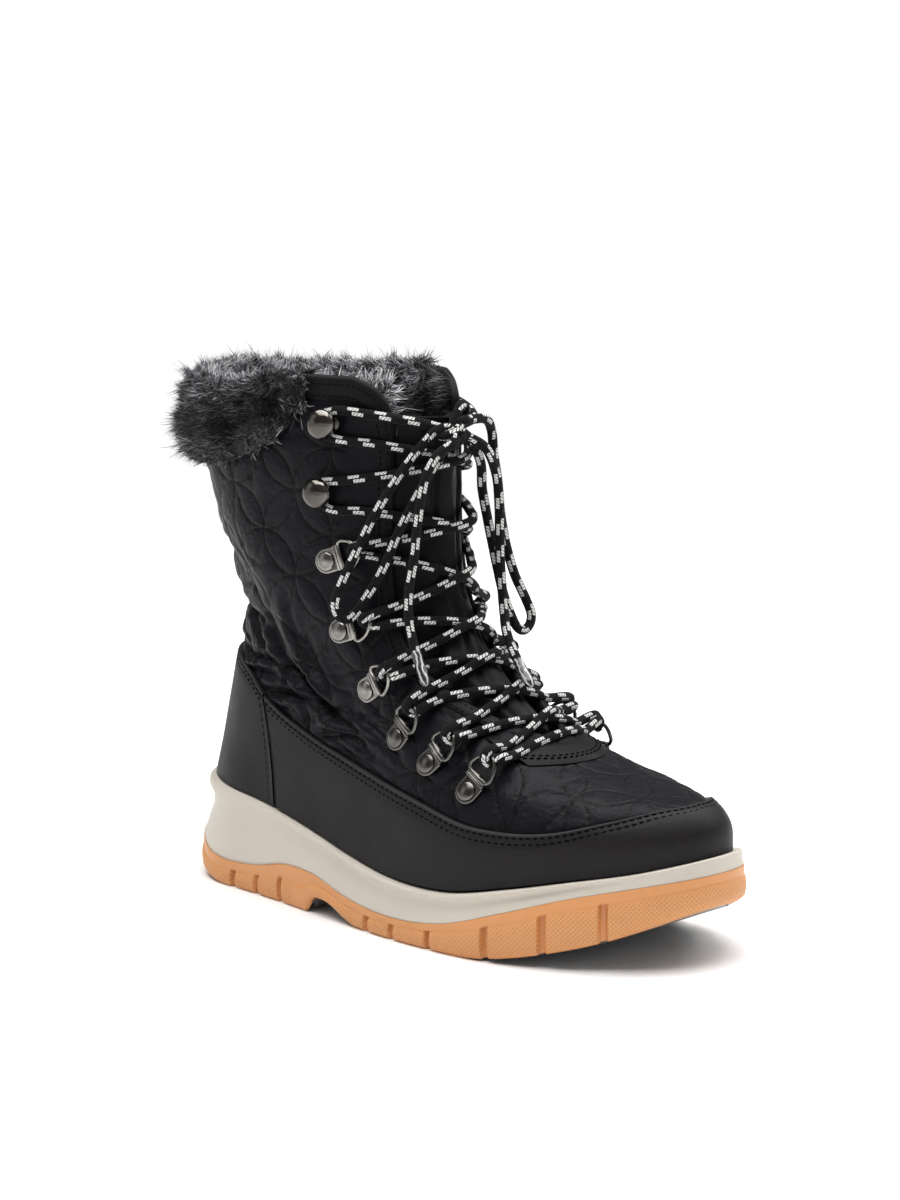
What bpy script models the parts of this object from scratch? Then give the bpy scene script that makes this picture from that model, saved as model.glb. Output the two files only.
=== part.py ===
"""Right winter boot: gum outsole, midsole, insole, quilted upper, leather rand and counter,
tongue, fur cuff, lace hardware and lace.

Sizes are in millimetres until a mesh is made. x runs from heel to toe, y to the medial side
and z up, with the floor at z = 0. The upper is one surface of a place s around the foot
(-1 front, -0.5 lateral, 0 back, 0.5 medial, 1 front) and a height b (0 feather edge, 1 collar).
"""

from collections import namedtuple

import bmesh
import bpy
import numpy as np
from mathutils import Vector

# Driving sizes
MM = 0.001
LENGTH = 270.0
TOE_SHIFT = 12.0
TOE_SPRING = 22.8
HEEL_BEVEL = 7.0
ARCH_RISE = 7.0
WALL = 3.0
GAP = 0.3
JOINT_GAP = 0.45
OVERLAY_GAP = 0.8
RAND_THICK = 1.4
BAND_THICK = 1.0
TONGUE_THICK = 4.0
INSOLE_THICK = 3.0
LACE_D = 4.0
LATERAL = -1
MEDIAL = 1

# Sole outline: half width on each side at a share f of the length
SoleRow = namedtuple("SoleRow", "f lateral medial")
SOLE = (
    SoleRow(0.00, 35.3, 36.0),
    SoleRow(0.13, 34.4, 37.0),
    SoleRow(0.38, 43.0, 32.0),
    SoleRow(0.55, 49.1, 37.8),
    SoleRow(0.70, 53.0, 48.4),
    SoleRow(1.00, 45.8, 46.3),
)
SOLE_HEEL_CAP = 0.14
SOLE_TOE_CAP = 0.68
SOLE_TOE_POWER = 2.2

# Heights along the sole: top edge of the midsole, and its joint with the outsole
LineRow = namedtuple("LineRow", "f top joint")
LINES = (
    LineRow(0.00, 45.5, 21.5),
    LineRow(0.08, 43.4, 13.0),
    LineRow(0.20, 40.3, 12.4),
    LineRow(0.28, 36.7, 17.0),
    LineRow(0.35, 33.1, 17.0),
    LineRow(0.43, 28.2, 11.8),
    LineRow(0.52, 24.2, 9.2),
    LineRow(0.65, 24.0, 12.0),
    LineRow(0.75, 29.3, 20.2),
    LineRow(0.85, 35.3, 29.0),
    LineRow(0.93, 39.8, 34.2),
    LineRow(1.00, 45.3, 38.3),
)

# Midsole side: share of the height, and the step in from the outline at the heel and elsewhere
SideRow = namedtuple("SideRow", "share heel_in side_in")
MIDSOLE_SIDE = (
    SideRow(0.00, 0.3, 0.3),
    SideRow(0.30, 2.8, 1.3),
    SideRow(0.62, 5.2, 2.3),
    SideRow(0.80, 4.6, 1.7),
    SideRow(0.87, 3.4, 0.8),
    SideRow(0.96, 3.4, 0.8),
    SideRow(1.00, 4.2, 1.5),
)
MIDSOLE_STATIONS = 31

# Outsole lugs: places along the length of the grooves between them
GROOVES = (0.148, 0.207, 0.269, 0.488, 0.546, 0.623, 0.729, 0.815, 0.894)
GROOVE_WIDTH = 2.6
GROOVE_FLANK = 0.6
LUG_SHARE = 0.62
LUG_PROUD = 0.6
GROOVE_IN = 0.6
LEDGE_RISE = 0.8
MID_GROOVE = 3.0
FLANK_INNER = 0.50
FLANK_OUTER = 0.62
ARCH_START = 0.333
ARCH_STEP = 0.025
ARCH_END = 0.375
ARCH_FADE = 0.090

# Rings of the upper from the feather edge to the collar, with half widths and end roundness
Ring = namedtuple("Ring", "b back_x back_z front_x front_z lat_heel lat_waist lat_ball "
                          "med_heel med_waist med_ball heel_cap toe_cap")
RINGS = (
    Ring(0.00, 7.5, 50.3, 264.0, 47.6, 29.5, 39.0, 47.0, 31.5, 28.5, 43.5, 0.15, 0.66),
    Ring(0.08, 11.5, 66.0, 263.0, 57.0, 28.5, 37.5, 46.5, 30.5, 28.0, 43.0, 0.16, 0.65),
    Ring(0.16, 15.5, 82.0, 254.0, 64.0, 28.5, 35.5, 42.0, 30.0, 28.0, 39.5, 0.18, 0.62),
    Ring(0.25, 19.0, 98.0, 233.0, 67.0, 28.5, 33.5, 36.5, 29.5, 28.5, 35.5, 0.22, 0.60),
    Ring(0.34, 22.0, 112.0, 210.0, 72.0, 28.5, 32.5, 34.0, 29.0, 29.5, 33.5, 0.27, 0.57),
    Ring(0.43, 21.5, 126.0, 187.0, 83.0, 29.0, 32.5, 33.0, 29.5, 31.0, 33.0, 0.32, 0.55),
    Ring(0.53, 17.0, 142.0, 163.0, 99.0, 31.5, 34.0, 33.5, 32.0, 33.5, 33.5, 0.37, 0.53),
    Ring(0.64, 9.0, 160.0, 146.0, 119.0, 35.0, 36.0, 34.0, 35.0, 36.0, 34.0, 0.42, 0.52),
    Ring(0.76, 2.0, 180.0, 137.0, 145.0, 38.0, 37.0, 35.0, 38.0, 37.0, 35.0, 0.46, 0.51),
    Ring(0.88, -2.0, 202.0, 134.5, 182.0, 39.5, 38.0, 36.0, 39.5, 38.0, 36.0, 0.49, 0.50),
    Ring(1.00, -5.0, 224.0, 133.5, 222.0, 40.0, 38.0, 36.5, 40.0, 38.0, 36.5, 0.50, 0.50),
)
PROFILE_F = (0.0, 0.12, 0.42, 0.72, 1.0)
TOE_NARROWING = 0.9
FEATHER_FADE = 0.35
UPPER_LEVELS = (0.0, 0.04, 0.08, 0.12, 0.16, 0.20, 0.25, 0.30, 0.35, 0.39, 0.42, 0.44, 0.46, 0.49,
                0.53, 0.58, 0.64, 0.70, 0.76, 0.82, 0.88, 0.94, 0.975, 0.99, 1.0)
UPPER_COLUMNS = 14

# Throat: half the gap between the two quarters at a height b, zero at its base
ThroatRow = namedtuple("ThroatRow", "b half")
THROAT = (
    ThroatRow(0.42, 0.0),
    ThroatRow(0.44, 11.0),
    ThroatRow(0.46, 16.0),
    ThroatRow(0.49, 20.0),
    ThroatRow(0.53, 22.5),
    ThroatRow(0.58, 23.5),
    ThroatRow(0.70, 22.0),
    ThroatRow(0.86, 20.4),
    ThroatRow(0.94, 20.2),
    ThroatRow(0.975, 22.0),
    ThroatRow(0.99, 24.8),
    ThroatRow(1.00, 28.3),
)
THROAT_BASE = THROAT[0].b

# Leather rand and heel counter: their top edge, and the seam between them
RandRow = namedtuple("RandRow", "a top")
RAND = (
    RandRow(0.00, 0.275),
    RandRow(0.15, 0.265),
    RandRow(0.23, 0.242),
    RandRow(0.28, 0.200),
    RandRow(0.35, 0.168),
    RandRow(0.45, 0.147),
    RandRow(0.55, 0.128),
    RandRow(0.63, 0.103),
    RandRow(0.72, 0.096),
    RandRow(0.80, 0.120),
    RandRow(0.88, 0.147),
    RandRow(1.00, 0.160),
)
SEAM_FOOT = 0.315
SEAM_LEAN = 0.23
SEAM_HALF_GAP = 0.0018
OVERLAY_FOOT = 0.003

# Fur cuff: lower edge and how far it stands proud, from the back round to its front ends
CuffRow = namedtuple("CuffRow", "a low proud")
CUFF = (
    CuffRow(0.00, 0.770, 14.0),
    CuffRow(0.20, 0.777, 14.0),
    CuffRow(0.36, 0.828, 13.5),
    CuffRow(0.45, 0.858, 13.0),
    CuffRow(0.52, 0.897, 11.5),
    CuffRow(0.575, 0.940, 9.0),
    CuffRow(0.605, 0.972, 6.0),
)
CUFF_STATIONS = 25
CUFF_OVERHANG = 5.0
CUFF_RISE = 6.5
LOCK_LENGTH = 3.5

# Lace loops from the toe up: place of the rivet and of the ring's middle
LoopRow = namedtuple("LoopRow", "rivet_a rivet_b ring_a ring_b")
LOOPS = (
    LoopRow(0.625, 0.170, 0.677, 0.260),
    LoopRow(0.578, 0.215, 0.650, 0.315),
    LoopRow(0.540, 0.258, 0.623, 0.375),
    LoopRow(0.540, 0.395, 0.633, 0.475),
    LoopRow(0.580, 0.555, 0.670, 0.608),
    LoopRow(0.620, 0.720, 0.680, 0.750),
)
HookRow = namedtuple("HookRow", "a b")
HOOKS = (HookRow(0.635, 0.838), HookRow(0.652, 0.938))

# Loop plate and ring, along u from the rivet to the ring, across v and up h
PLATE_THICK = 0.8
PLATE_LIFT = 0.85
RING_WIRE = 0.75
RING_BAR_U = 7.2
RING_DEPTH = 7.8
RING_HALF = 5.0
ROLL_RADIUS = RING_WIRE + 0.4 + PLATE_THICK / 2
RING_LIFT = PLATE_LIFT + ROLL_RADIUS
RIVET_RADIUS = 3.1
RIVET_HEIGHT = 1.5

# Hook outline: radius and height of each step from the upper out
HOOK_PROFILE = ((4.6, 0.4), (4.6, 1.1), (1.9, 1.3), (1.9, 5.7), (4.4, 6.2), (5.3, 7.8), (4.3, 9.6), (1.8, 10.5))
HOOK_SIDES = 8

# Lace runs on the surface
LACE_LIFT = 2.5
HOOK_LACE_LIFT = 3.5
RING_EXIT = 1.47
HOOK_EXIT = 0.014
RUN_SIDES = 5
RUN_POINTS = 6
RUN_SWELL = 2.3
RUN_OVER = 0.8
TRACK = 2.4
UNION_MERGE = 0.08

# Bow: middle of the knot, and hand-placed routes of its loops and ends
KNOT = (140.5, -6.5, 203.0)
KNOT_RADII = (5.0, 6.2, 6.4)
LEFT_LOOP = (
    (137.0, -14.5, 200.5), (133.0, -21.0, 192.0), (128.5, -27.0, 181.5), (123.5, -31.5, 170.5),
    (119.0, -35.0, 159.5), (115.5, -39.5, 148.0), (113.5, -43.5, 138.5), (113.5, -46.0, 132.0),
    (114.5, -44.5, 128.0), (116.0, -41.0, 126.5), (117.5, -37.5, 129.0), (119.5, -35.0, 134.0),
    (122.5, -32.0, 140.5), (125.5, -29.0, 148.5), (129.0, -25.5, 160.5), (134.0, -22.0, 173.0),
    (139.0, -17.5, 185.0), (141.0, -10.5, 195.5),
)
LEFT_END = (
    (145.5, -11.0, 197.5), (143.0, -16.5, 193.5), (141.0, -20.5, 186.5), (140.0, -22.5, 178.5),
    (139.5, -24.0, 169.5), (139.0, -25.0, 160.5), (138.5, -26.0, 150.5), (138.0, -28.0, 140.0),
    (139.0, -29.5, 130.5), (142.0, -31.0, 122.0), (147.0, -32.5, 113.5), (153.0, -34.5, 105.0),
)
RIGHT_LOOP = (
    (144.5, -0.5, 206.5), (144.0, 10.5, 206.0), (139.5, 19.5, 200.0), (138.0, 22.5, 190.0),
    (138.5, 24.5, 178.5), (139.0, 25.5, 166.5), (140.5, 27.0, 154.0), (143.0, 30.0, 140.0),
    (146.5, 33.5, 129.0), (148.5, 34.5, 123.0), (149.0, 33.0, 119.0), (149.0, 29.0, 117.0),
    (149.0, 25.0, 119.0), (147.5, 23.0, 124.0), (144.0, 22.0, 133.0), (141.0, 20.5, 147.0),
    (138.5, 18.5, 163.0), (138.5, 15.0, 176.5), (142.5, 9.5, 188.5), (144.0, 2.5, 197.0),
)
RIGHT_END = (
    (145.6, -1.0, 199.7), (149.3, 4.5, 195.5), (148.0, 13.0, 183.5), (146.5, 16.5, 171.0),
    (145.5, 18.0, 158.5), (145.5, 18.5, 147.0), (146.0, 19.0, 136.0), (148.5, 17.5, 126.5),
    (154.0, 13.0, 119.0), (161.0, 9.0, 113.0), (168.5, 5.5, 107.5), (176.0, 2.5, 102.0),
)

# Colour, roughness and metallic value of each material
Finish = namedtuple("Finish", "colour roughness metallic")
FINISHES = {
    "gum_rubber": Finish((0.70, 0.33, 0.12), 0.60, 0.0),
    "midsole_rubber": Finish((0.60, 0.55, 0.49), 0.55, 0.0),
    "insole_felt": Finish((0.08, 0.08, 0.09), 0.95, 0.0),
    "quilted_nylon": Finish((0.014, 0.014, 0.016), 0.60, 0.0),
    "coated_leather": Finish((0.022, 0.021, 0.021), 0.55, 0.0),
    "fur_pile": Finish((0.07, 0.07, 0.08), 0.95, 0.0),
    "gunmetal": Finish((0.30, 0.29, 0.28), 0.28, 1.0),
    "lace_cord": Finish((0.015, 0.015, 0.016), 0.75, 0.0),
}


def curve(x, xs, ys):
    """Smooth curve through the knots of a table."""
    xs = np.asarray(xs, float)
    ys = np.asarray(ys, float)
    span = np.diff(xs)
    slope = np.diff(ys) / span
    tangent = np.empty_like(ys)
    tangent[0] = slope[0]
    tangent[-1] = slope[-1]
    tangent[1:-1] = (slope[:-1] * span[1:] + slope[1:] * span[:-1]) / (span[1:] + span[:-1])
    x = np.clip(np.asarray(x, float), xs[0], xs[-1])
    i = np.clip(np.searchsorted(xs, x, side="right") - 1, 0, len(xs) - 2)
    t = (x - xs[i]) / span[i]
    square = t * t
    cube = square * t
    rise = (3 * square - 2 * cube) * (ys[i + 1] - ys[i])
    lead = (cube - 2 * square + t) * span[i] * tangent[i]
    trail = (cube - square) * span[i] * tangent[i + 1]
    return ys[i] + rise + lead + trail


def column(rows, name):
    return [getattr(row, name) for row in rows]


def look_up(rows, key, name, x):
    return curve(x, column(rows, key), column(rows, name))


def ease(t):
    t = np.clip(t, 0.0, 1.0)
    return t * t * (3 - 2 * t)


def heel_cap(f, reach):
    t = np.clip(f / reach, 0.0, 1.0)
    return np.sqrt(1 - (1 - t) ** 2)


def toe_cap(f, start, power):
    t = np.clip((f - start) / (1 - start), 0.0, 1.0)
    return (1 - t ** power) ** (1 / power)


def spread(a):
    """Share of the length for a place a, crowded at both ends where the outline turns."""
    return (1 - np.cos(np.pi * np.asarray(a, float))) / 2


# Sole lines

def toe_shift(f):
    return TOE_SHIFT * ease((np.asarray(f, float) - 0.5) / 0.5)


def sole_half(f, side):
    name = "lateral" if side == LATERAL else "medial"
    width = look_up(SOLE, "f", name, f)
    return width * heel_cap(f, SOLE_HEEL_CAP) * toe_cap(f, SOLE_TOE_CAP, SOLE_TOE_POWER)


def sole_edge(f, side, offset):
    """Point of the outline moved out by an offset, without its height."""
    step = 0.002
    a = np.arccos(np.clip(1 - 2 * f, -1.0, 1.0)) / np.pi
    sides = [side if 0 <= v <= 1 else -side for v in (a - step, a + step)]
    pair = []
    for v, s in zip((a - step, a + step), sides):
        g = float(spread(v))
        pair.append(np.array((g * LENGTH, float(toe_shift(g) + s * sole_half(g, s)))))
    along = pair[1] - pair[0]
    out = np.array((-along[1], along[0])) * (1 if side == MEDIAL else -1)
    out = out / np.linalg.norm(out)
    here = np.array((f * LENGTH, float(toe_shift(f) + side * sole_half(f, side))))
    return here + out * offset


def top_z(f):
    return look_up(LINES, "f", "top", f)


def joint_z(f):
    return look_up(LINES, "f", "joint", f)


def bottom_z(f):
    heel = HEEL_BEVEL * np.clip(1 - f / 0.13, 0.0, 1.0) ** 2
    toe = TOE_SPRING * np.clip((f - 0.68) / 0.32, 0.0, 1.0) ** 1.6
    arch = ARCH_RISE * ease((f - ARCH_START) / ARCH_STEP) * (1 - ease((f - ARCH_END) / ARCH_FADE))
    return heel + toe + arch


# Surface of the upper

def wrap(s):
    """Places beyond the front carry on round the other side."""
    s = np.asarray(s, float)
    s = np.where(s > 1, s - 2, s)
    return np.where(s < -1, s + 2, s)


def upper(s, b):
    """Points of the upper at places s and one height b."""
    s = wrap(np.atleast_1d(s))
    f = spread(np.abs(s))
    ring = {name: float(look_up(RINGS, "b", name, b)) for name in Ring._fields[1:]}
    cap = heel_cap(f, ring["heel_cap"]) * toe_cap(f, ring["toe_cap"], 2.0 + 0.2 * max(0.0, 1 - 2 * b))
    widths = []
    for side in ("lat", "med"):
        heel, waist, ball = (ring[side + "_" + part] for part in ("heel", "waist", "ball"))
        widths.append(curve(f, PROFILE_F, (heel, heel, waist, ball, TOE_NARROWING * ball)) * cap)
    x = ring["back_x"] + (ring["front_x"] - ring["back_x"]) * f
    y = toe_shift(x / LENGTH) + np.where(s < 0, -widths[0], widths[1])
    z = ring["back_z"] + (ring["front_z"] - ring["back_z"]) * f
    first = RINGS[0]
    level = first.back_z + (first.front_z - first.back_z) * f
    fade = max(0.0, 1 - b / FEATHER_FADE) ** 2
    z = z + fade * (top_z(x / LENGTH) + GAP - level)
    return np.stack((x, y, z), axis=-1)


def upper_normal(s, b):
    """Outward directions of the upper, level at the feather edge."""
    s = np.atleast_1d(np.asarray(s, float))
    step = 0.004
    around = upper(s + step, b) - upper(s - step, b)
    rise = upper(s, min(b + step, 1.0)) - upper(s, max(b - step, 0.0))
    out = np.cross(rise, around)
    if b < step:
        out[:, 2] = 0.0
    return out / np.linalg.norm(out, axis=1)[:, None]


def upper_sheet(places, heights, lift):
    """Grid of points at a lift from the upper; places and heights are tables of equal shape."""
    points = np.empty(places.shape + (3,))
    for i in np.ndindex(places.shape):
        base = upper(places[i], heights[i])[0]
        points[i] = base + upper_normal(places[i], heights[i])[0] * lift[i]
    return points


def place_at_width(half, b, side):
    """Place a between mid and front where the upper is a given half width from its middle."""
    low = 0.5
    high = 1.0
    for _ in range(40):
        middle = (low + high) / 2
        point = upper(side * middle, b)[0]
        if abs(point[1] - float(toe_shift(point[0] / LENGTH))) > half:
            low = middle
        else:
            high = middle
    return (low + high) / 2


# Mesh makers

def finish_material(name):
    material = bpy.data.materials.get(name)
    if material:
        return material
    material = bpy.data.materials.new(name)
    material.use_nodes = True
    shader = material.node_tree.nodes["Principled BSDF"]
    finish = FINISHES[name]
    shader.inputs["Base Color"].default_value = (*finish.colour, 1.0)
    shader.inputs["Roughness"].default_value = finish.roughness
    shader.inputs["Metallic"].default_value = finish.metallic
    material.diffuse_color = (*finish.colour, 1.0)
    return material


def make_object(name, verts, faces, finish, root):
    """One closed solid from points in millimetres."""
    mesh = bpy.data.meshes.new(name)
    mesh.from_pydata([tuple(float(c) * MM for c in v) for v in verts], [], faces)
    work = bmesh.new()
    work.from_mesh(mesh)
    bmesh.ops.recalc_face_normals(work, faces=work.faces)
    work.to_mesh(mesh)
    work.free()
    mesh.materials.append(finish_material(finish))
    obj = bpy.data.objects.new(name, mesh)
    bpy.context.scene.collection.objects.link(obj)
    obj.parent = root
    return obj


def patch_solid(near, far):
    """Closed solid between two grids of points."""
    rows, cols = near.shape[:2]
    verts = list(near.reshape(-1, 3)) + list(far.reshape(-1, 3))
    size = rows * cols
    faces = []
    for i in range(rows - 1):
        for j in range(cols - 1):
            quad = (i * cols + j, i * cols + j + 1, (i + 1) * cols + j + 1, (i + 1) * cols + j)
            faces.append(quad)
            faces.append(tuple(size + k for k in reversed(quad)))
    border = [j for j in range(cols)]
    border += [i * cols + cols - 1 for i in range(1, rows)]
    border += [(rows - 1) * cols + j for j in range(cols - 2, -1, -1)]
    border += [i * cols for i in range(rows - 2, 0, -1)]
    for here, then in zip(border, border[1:] + border[:1]):
        faces.append((then, here, size + here, size + then))
    return verts, faces


def sweep_solid(sections, closed=False):
    """Closed solid through a row of sections with equal numbers of points."""
    count = len(sections[0])
    verts = [p for section in sections for p in section]
    faces = []
    pairs = [(i, i + 1) for i in range(len(sections) - 1)]
    if closed:
        pairs.append((len(sections) - 1, 0))
    for i, k in pairs:
        for j in range(count):
            n = (j + 1) % count
            faces.append((i * count + j, i * count + n, k * count + n, k * count + j))
    if not closed:
        faces.append(tuple(range(count)))
        faces.append(tuple(range(len(verts) - count, len(verts))))
    return verts, faces


def tube_sections(path, radius, sides, closed=False):
    """Round sections along a path, carried along without twist."""
    path = np.asarray(path, float)
    if closed:
        along = np.roll(path, -1, axis=0) - np.roll(path, 1, axis=0)
    else:
        along = np.gradient(path, axis=0)
    along = along / np.linalg.norm(along, axis=1)[:, None]
    seed = np.array((0.0, 0.0, 1.0))
    if abs(along[0] @ seed) > 0.9:
        seed = np.array((0.0, 1.0, 0.0))
    sections = []
    turns = np.arange(sides) * 2 * np.pi / sides
    for point, way in zip(path, along):
        seed = seed - way * (seed @ way)
        seed = seed / np.linalg.norm(seed)
        cross = np.cross(way, seed)
        sections.append([point + radius * (np.cos(t) * seed + np.sin(t) * cross) for t in turns])
    return sections


def plan_solid(stations, levels, across, bottom_height):
    """Solid with a sole's outline: stacked outline levels, a ridged bottom and a plain top."""
    count = len(stations)
    order = [(i, LATERAL) for i in range(count)]
    order += [(i, MEDIAL) for i in range(count - 2, 0, -1)]
    verts = []
    for level in levels:
        verts += [level(stations[i], side) for i, side in order]
    loop = len(order)
    faces = []
    for k in range(len(levels) - 1):
        for j in range(loop):
            n = (j + 1) % loop
            faces.append((k * loop + j, k * loop + n, (k + 1) * loop + n, (k + 1) * loop + j))

    def row(i, start, inner):
        if i in (0, count - 1):
            return [start + i]
        return [start + i] + inner.get(i, []) + [start + loop - i]

    inner = {}
    for i in range(1, count - 1):
        left = np.array(verts[i])
        right = np.array(verts[loop - i])
        inner[i] = []
        for v in across:
            point = left + (right - left) * (v + 1) / 2
            inner[i].append(len(verts))
            verts.append((point[0], point[1], bottom_height(stations[i], v)))
    top = (len(levels) - 1) * loop
    for start, cells in ((0, inner), (top, {})):
        for i in range(count - 1):
            near = row(i, start, cells)
            far = row(i + 1, start, cells)
            if len(near) == 1:
                faces += [(near[0], far[j + 1], far[j]) for j in range(len(far) - 1)]
            elif len(far) == 1:
                faces += [(near[j], near[j + 1], far[0]) for j in range(len(near) - 1)]
            else:
                faces += [(near[j], near[j + 1], far[j + 1], far[j]) for j in range(len(near) - 1)]
    return verts, faces


# Sole pieces

def in_groove(f):
    """One inside a groove, zero on a lug."""
    half = GROOVE_WIDTH / 2 / LENGTH
    return any(abs(f - g) < half for g in GROOVES)


def groove_height(f):
    return bottom_z(f) + LUG_SHARE * (joint_z(f) - bottom_z(f))


def tread_z(f, v):
    if not in_groove(f):
        return float(bottom_z(f))
    side = float(groove_height(f)) - 0.5
    middle = float(bottom_z(f)) + MID_GROOVE
    share = ease((abs(v) - FLANK_INNER) / (FLANK_OUTER - FLANK_INNER))
    return middle + (side - middle) * float(share)


def outsole_stations():
    half = GROOVE_WIDTH / 2 / LENGTH
    flank = GROOVE_FLANK / LENGTH
    stations = []
    for g in GROOVES:
        stations += [g - half - flank, g - half + 1e-6, g + half - 1e-6, g + half + flank]
    stations += [ARCH_START, ARCH_START + ARCH_STEP / 2, ARCH_START + ARCH_STEP, ARCH_END]
    stations += [ARCH_END + ARCH_FADE / 2, ARCH_END + ARCH_FADE]
    ends = (0.0, 0.006, 0.024, 0.055, 0.095)
    stations += list(ends) + [1 - v for v in ends]
    stations += [0.178, 0.238, 0.378, 0.42, 0.58, 0.68, 0.77, 0.855]
    return sorted(stations)


def make_outsole(root):
    def level(height, on_lug, on_groove):
        def point(f, side):
            plan = sole_edge(f, side, -on_groove if in_groove(f) else on_lug)
            return (plan[0], plan[1], height(f))
        return point

    def face(f):
        return float(groove_height(f))

    levels = (
        level(lambda f: tread_z(f, 1.0), 0.0, GROOVE_IN),
        level(face, LUG_PROUD, GROOVE_IN),
        level(lambda f: face(f) + LEDGE_RISE, -0.3, 0.3),
        level(lambda f: float(joint_z(f)), 0.0, 0.0),
    )
    across = (-FLANK_OUTER, -FLANK_INNER, FLANK_INNER, FLANK_OUTER)
    verts, faces = plan_solid(outsole_stations(), levels, across, tread_z)
    return make_object("outsole", verts, faces, "gum_rubber", root)


def midsole_in(row, f):
    heel = 1 - float(ease(f / 0.16))
    return row.side_in + (row.heel_in - row.side_in) * heel


def make_midsole(root):
    def level(row):
        def point(f, side):
            plan = sole_edge(f, side, -midsole_in(row, f))
            g = plan[0] / LENGTH
            low = float(joint_z(g)) + JOINT_GAP
            return (plan[0], plan[1], low + (float(top_z(g)) - low) * row.share)
        return point

    stations = [float(v) for v in spread(np.linspace(0, 1, MIDSOLE_STATIONS))]
    levels = [level(row) for row in MIDSOLE_SIDE]
    verts, faces = plan_solid(stations, levels, (), None)
    return make_object("midsole", verts, faces, "midsole_rubber", root)


def make_insole(root):
    inset = WALL + 1.8

    def level(rise):
        def point(f, side):
            s = side * np.arccos(np.clip(1 - 2 * f, -1.0, 1.0)) / np.pi
            base = upper(s, 0.0)[0] - upper_normal(s, 0.0)[0] * inset
            return (base[0], base[1], float(top_z(base[0] / LENGTH)) + GAP + rise)
        return point

    stations = [float(v) for v in spread(np.linspace(0, 1, 17))]
    verts, faces = plan_solid(stations, (level(0.0), level(INSOLE_THICK)), (), None)
    return make_object("insole", verts, faces, "insole_felt", root)


# Upper and what is sewn on it

def throat_place(b, side):
    if b <= THROAT_BASE:
        return 1.0
    return place_at_width(float(look_up(THROAT, "b", "half", b)), b, side)


def upper_row(b):
    left = np.linspace(-throat_place(b, LATERAL), 0.0, UPPER_COLUMNS)
    right = np.linspace(0.0, throat_place(b, MEDIAL), UPPER_COLUMNS)
    return np.concatenate((left, right[1:]))


def make_upper(root):
    verts = []
    outer = []
    inner = []
    for b in UPPER_LEVELS:
        places = upper_row(b)
        skin = upper(places, b)
        lining = skin - upper_normal(places, b) * WALL
        for grid, points in ((outer, skin), (inner, lining)):
            ids = list(range(len(verts), len(verts) + len(points)))
            verts += list(points)
            if b <= THROAT_BASE:
                verts.pop()
                ids[-1] = ids[0]
            grid.append(ids)
    faces = []
    width = len(outer[0])
    for r in range(len(UPPER_LEVELS) - 1):
        for j in range(width - 1):
            faces.append((outer[r][j], outer[r][j + 1], outer[r + 1][j + 1], outer[r + 1][j]))
            faces.append((inner[r][j + 1], inner[r][j], inner[r + 1][j], inner[r + 1][j + 1]))
        if UPPER_LEVELS[r] >= THROAT_BASE:
            faces.append((outer[r][0], outer[r + 1][0], inner[r + 1][0], inner[r][0]))
            faces.append((outer[r + 1][-1], outer[r][-1], inner[r][-1], inner[r + 1][-1]))
    for r in (0, -1):
        for j in range(width - 1):
            faces.append((outer[r][j + 1], outer[r][j], inner[r][j], inner[r][j + 1]))
    return make_object("upper", verts, faces, "quilted_nylon", root)


def rand_top(s):
    return look_up(RAND, "a", "top", np.abs(wrap(s)))


def seam_place(b):
    return SEAM_FOOT - SEAM_LEAN * b


def overlay(places, shares, top, thick):
    """Sheet of an even thickness on the upper, from the feather edge to its top line."""
    s = np.empty((len(shares), len(places)))
    b = np.empty_like(s)
    for i, share in enumerate(shares):
        for j, place in enumerate(places):
            b[i, j] = OVERLAY_FOOT + share * (float(top(place(share))) - OVERLAY_FOOT)
            s[i, j] = place(share)
    near = upper_sheet(s, b, np.full(s.shape, OVERLAY_GAP))
    far = upper_sheet(s, b, np.full(s.shape, OVERLAY_GAP + thick))
    return patch_solid(near, far)


def make_rand(root):
    """Leather band from the side seam round the toe to the other side seam."""
    def place(k):
        def at(share):
            edge = seam_place(share * float(rand_top(seam_place(0.2)))) + SEAM_HALF_GAP
            return edge + (2 - 2 * edge) * k
        return at

    places = [place(k) for k in np.linspace(0, 1, 33)]
    verts, faces = overlay(places, (0.0, 0.3, 0.65, 1.0), rand_top, RAND_THICK)
    return make_object("rand", verts, faces, "coated_leather", root)


def make_counter(root):
    """Leather heel counter between the two side seams."""
    def place(k):
        def at(share):
            edge = seam_place(share * float(rand_top(seam_place(0.2)))) - SEAM_HALF_GAP
            return edge * k
        return at

    places = [place(k) for k in np.linspace(-1, 1, 17)]
    verts, faces = overlay(places, (0.0, 0.25, 0.5, 0.75, 1.0), rand_top, RAND_THICK)
    return make_object("heel_counter", verts, faces, "coated_leather", root)


def make_throat_band(root):
    """Stitched band over the vamp just below the throat."""
    widths = np.linspace(-1, 1, 13)
    reach = 20.0
    s = np.empty((3, len(widths)))
    b = np.empty_like(s)
    for j, w in enumerate(widths):
        low = 0.386 - 0.040 * w * w
        high = 0.410 - 0.016 * w * w
        for i, share in enumerate((0.0, 0.5, 1.0)):
            b[i, j] = low + (high - low) * share
            side = LATERAL if w < 0 else MEDIAL
            s[i, j] = side * place_at_width(abs(w) * reach, b[i, j], side)
    near = upper_sheet(s, b, np.full(s.shape, GAP))
    far = upper_sheet(s, b, np.full(s.shape, GAP + BAND_THICK))
    verts, faces = patch_solid(near, far)
    return make_object("throat_band", verts, faces, "quilted_nylon", root)


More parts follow.
